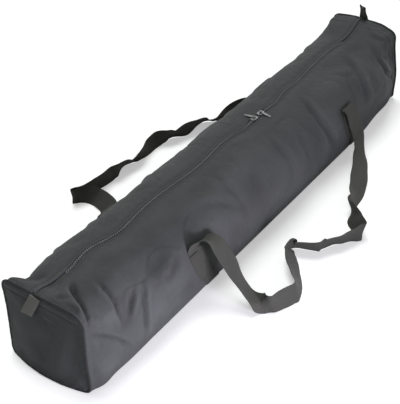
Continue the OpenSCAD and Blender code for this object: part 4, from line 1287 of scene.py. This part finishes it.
class CASE_OT_tabs(Step, bpy.types.Operator):
    """Folded webbing tabs at both ends of the zip"""
    bl_idname = "case.tabs"
    bl_label = "End tabs"
    # Lean of each tab and of its root, length, half width, bend and twist, and the swelling of its loop
    LEAN = {NEAR: 25.0, FAR: 5.0}
    ROOT_LEAN = {NEAR: 8.0, FAR: 18.0}
    LONG = {NEAR: 46.0, FAR: 38.0}
    HALF = 10.5
    BEND = {NEAR: -4.0, FAR: 8.0}
    TWIST = {NEAR: 8.0, FAR: -34.0}
    LOOP = {NEAR: 3.2, FAR: 0.3}
    # The near tab takes the paler tab colour, painted light; the far tab takes the plain webbing.
    FINISH = {NEAR: "tab", FAR: "webbing"}

    def build(self, shape):
        for end, name in END_NAMES.items():
            root = joint_place(f"{name}_tab_swing")
            turn = np.linspace(0, 2 * np.pi, 60)
            far = 0.5 - 0.5 * np.cos(turn)
            out = 0.95 * np.tanh(5 * np.sin(turn)) + self.LOOP[end] * np.sin(turn) * far ** 1.5
            lean = math.radians(-end * self.LEAN[end])
            root_lean = math.radians(-end * self.ROOT_LEAN[end])
            down = end * self.LONG[end] * far
            twist = np.radians(self.TWIST[end]) * smooth(far * 1.3)
            wide = np.array([0, math.cos(root_lean), math.sin(root_lean)])
            way = np.cos(twist)[:, None] * wide - np.sin(twist)[:, None] * [1, 0, 0]
            away = np.cos(twist)[:, None] * [1, 0, 0] + np.sin(twist)[:, None] * wide
            path = shape.slump(root) + end * out[:, None] * away
            path = path + xyz(-end * self.BEND[end] * far ** 2, -math.sin(lean) * down, math.cos(lean) * down)
            rings, run, across, _ = ribbon_rings(path, way, self.HALF, shape.web)
            piece = make_tube(f"{name}_tab_loop", rings, self.FINISH[end], run, across)
            place(piece, "webbing", [f"{name}_tab"], f"{name}_tab")


class CASE_OT_stitching(Step, bpy.types.Operator):
    """Rows of stitches beside the zip"""
    bl_idname = "case.stitching"
    bl_label = "Stitching"

    def build(self, shape):
        for side, name in SIDE_NAMES.items():
            for part, x in flap_parts(shape, 2).items():
                gap = shape.zip_gap(x)
                u = 6 - shape.STITCH_ROW / shape.flat_run(x, side, gap)
                on, off = [shape.flap(x, u, depth, side, gap, True)[0] for depth in (0.1, -1)]
                piece = sew(f"{name}_flap_stitches_{part}", on, off)
                place(piece, "outer_fabric")
                bend_flap(shape, piece, side, part)


def aimed(name, data, at, target):
    """Camera or lamp at a place, looking at a target."""
    holder = bpy.data.objects.new(name, data)
    holder.location = at
    holder.rotation_mode = "QUATERNION"
    holder.rotation_quaternion = (Vector(target) - Vector(at)).to_track_quat("-Z", "Y")
    bpy.context.scene.collection.objects.link(holder)
    return holder


class CASE_OT_stage(bpy.types.Operator):
    """Pale floor, soft studio light, white surroundings and the camera"""
    bl_idname = "case.stage"
    bl_label = "Stage"
    SENSOR, LENS = 36.0, 93.6
    CAMERA_AT, CAMERA_AIM = (-1.424, -0.922, 1.348), (-0.115, -0.002, 0.084)
    # Name, kind, place, target, size or angle, strength and colour of each lamp
    LAMPS = [
        ("side_key", "AREA", (-0.46, -1.15, 0.17), (-0.44, 0.0, 0.06), 0.34, 6.0, (0.91, 0.87, 1.0)),
        ("sky_soft", "SUN", (0.35, 0.62, 2.4), (0.0, 0.0, 0.1), 0.5, 1.85, (0.97, 1.0, 0.98)),
    ]
    SPREAD = math.radians(100)
    FLOOR_HALF, FLOOR_DOWN = 9000.0, 0.2
    SKY_LIGHT, SKY_SEEN = 0.20, 0.80

    def execute(self, context):
        scene = context.scene
        scene.view_settings.view_transform = "Standard"
        lens = bpy.data.cameras.new("camera")
        lens.sensor_width, lens.lens = self.SENSOR, self.LENS
        scene.camera = aimed("camera", lens, self.CAMERA_AT, self.CAMERA_AIM)
        for name, kind, at, target, size, watts, colour in self.LAMPS:
            lamp = bpy.data.lights.new(name, kind)
            if kind == "AREA":
                lamp.shape, lamp.size, lamp.spread = "DISK", size, self.SPREAD
            else:
                lamp.angle = size
            lamp.energy, lamp.color = watts, colour
            aimed(name, lamp, at, target)
        self.floor()
        self.surroundings(scene)
        return {"FINISHED"}

    def floor(self):
        """Wide pale floor."""
        corners = np.array([(-1, -1, 0), (1, -1, 0), (1, 1, 0), (-1, 1, 0)], float) * self.FLOOR_HALF
        make_piece("floor", corners - [0, 0, self.FLOOR_DOWN], np.array([[0, 1, 2, 3]]), "floor")

    def surroundings(self, scene):
        """White to the camera and in reflections, a soft grey light elsewhere."""
        world = bpy.data.worlds.new("surroundings")
        scene.world = world
        world.use_nodes = True
        world.node_tree.nodes.clear()
        wire = Wire(world.node_tree)
        rays = [wire.node("ShaderNodeLightPath", out=k) for k in (0, 3, 6)]
        white = (rays[0] + rays[1] + rays[2]).clipped()
        light = self.SKY_LIGHT + white * self.SKY_SEEN
        glow = wire.node("ShaderNodeBackground", Color=WHITE, Strength=light)
        wire.node("ShaderNodeOutputWorld", Surface=glow)


class CASE_PT_sidebar(bpy.types.Panel):
    """Sizes, colours and the steps of the case"""
    bl_idname = "CASE_PT_sidebar"
    bl_label = "Carry case"
    bl_space_type = "VIEW_3D"
    bl_region_type = "UI"
    bl_category = "Carry case"

    def draw(self, context):
        for group in (context.scene.case_sizes, context.scene.case_webbing, context.scene.case_colours):
            box = self.layout.box()
            for name in group.__annotations__:
                box.prop(group, name)
        for step in STEPS:
            self.layout.operator(step.bl_idname)


STEPS = [
    CASE_OT_stage, CASE_OT_sides, CASE_OT_flaps, CASE_OT_ends, CASE_OT_zip, CASE_OT_straps,
    CASE_OT_handles, CASE_OT_tabs, CASE_OT_stitching,
]
GROUPS = {"case_sizes": CaseSizes, "case_webbing": WebbingSizes, "case_colours": CaseColours}


def register():
    for group in GROUPS.values():
        bpy.utils.register_class(group)
    for name, group in GROUPS.items():
        setattr(bpy.types.Scene, name, bpy.props.PointerProperty(type=group))
    for step in STEPS + [CASE_PT_sidebar]:
        bpy.utils.register_class(step)


def unregister():
    for step in [CASE_PT_sidebar] + STEPS[::-1]:
        bpy.utils.unregister_class(step)
    for name, group in GROUPS.items():
        delattr(bpy.types.Scene, name)
        bpy.utils.unregister_class(group)


def main():
    register()
    for step in STEPS:
        group, name = step.bl_idname.split(".")
        getattr(getattr(bpy.ops, group), name)()


if __name__ == "__main__":
    main()
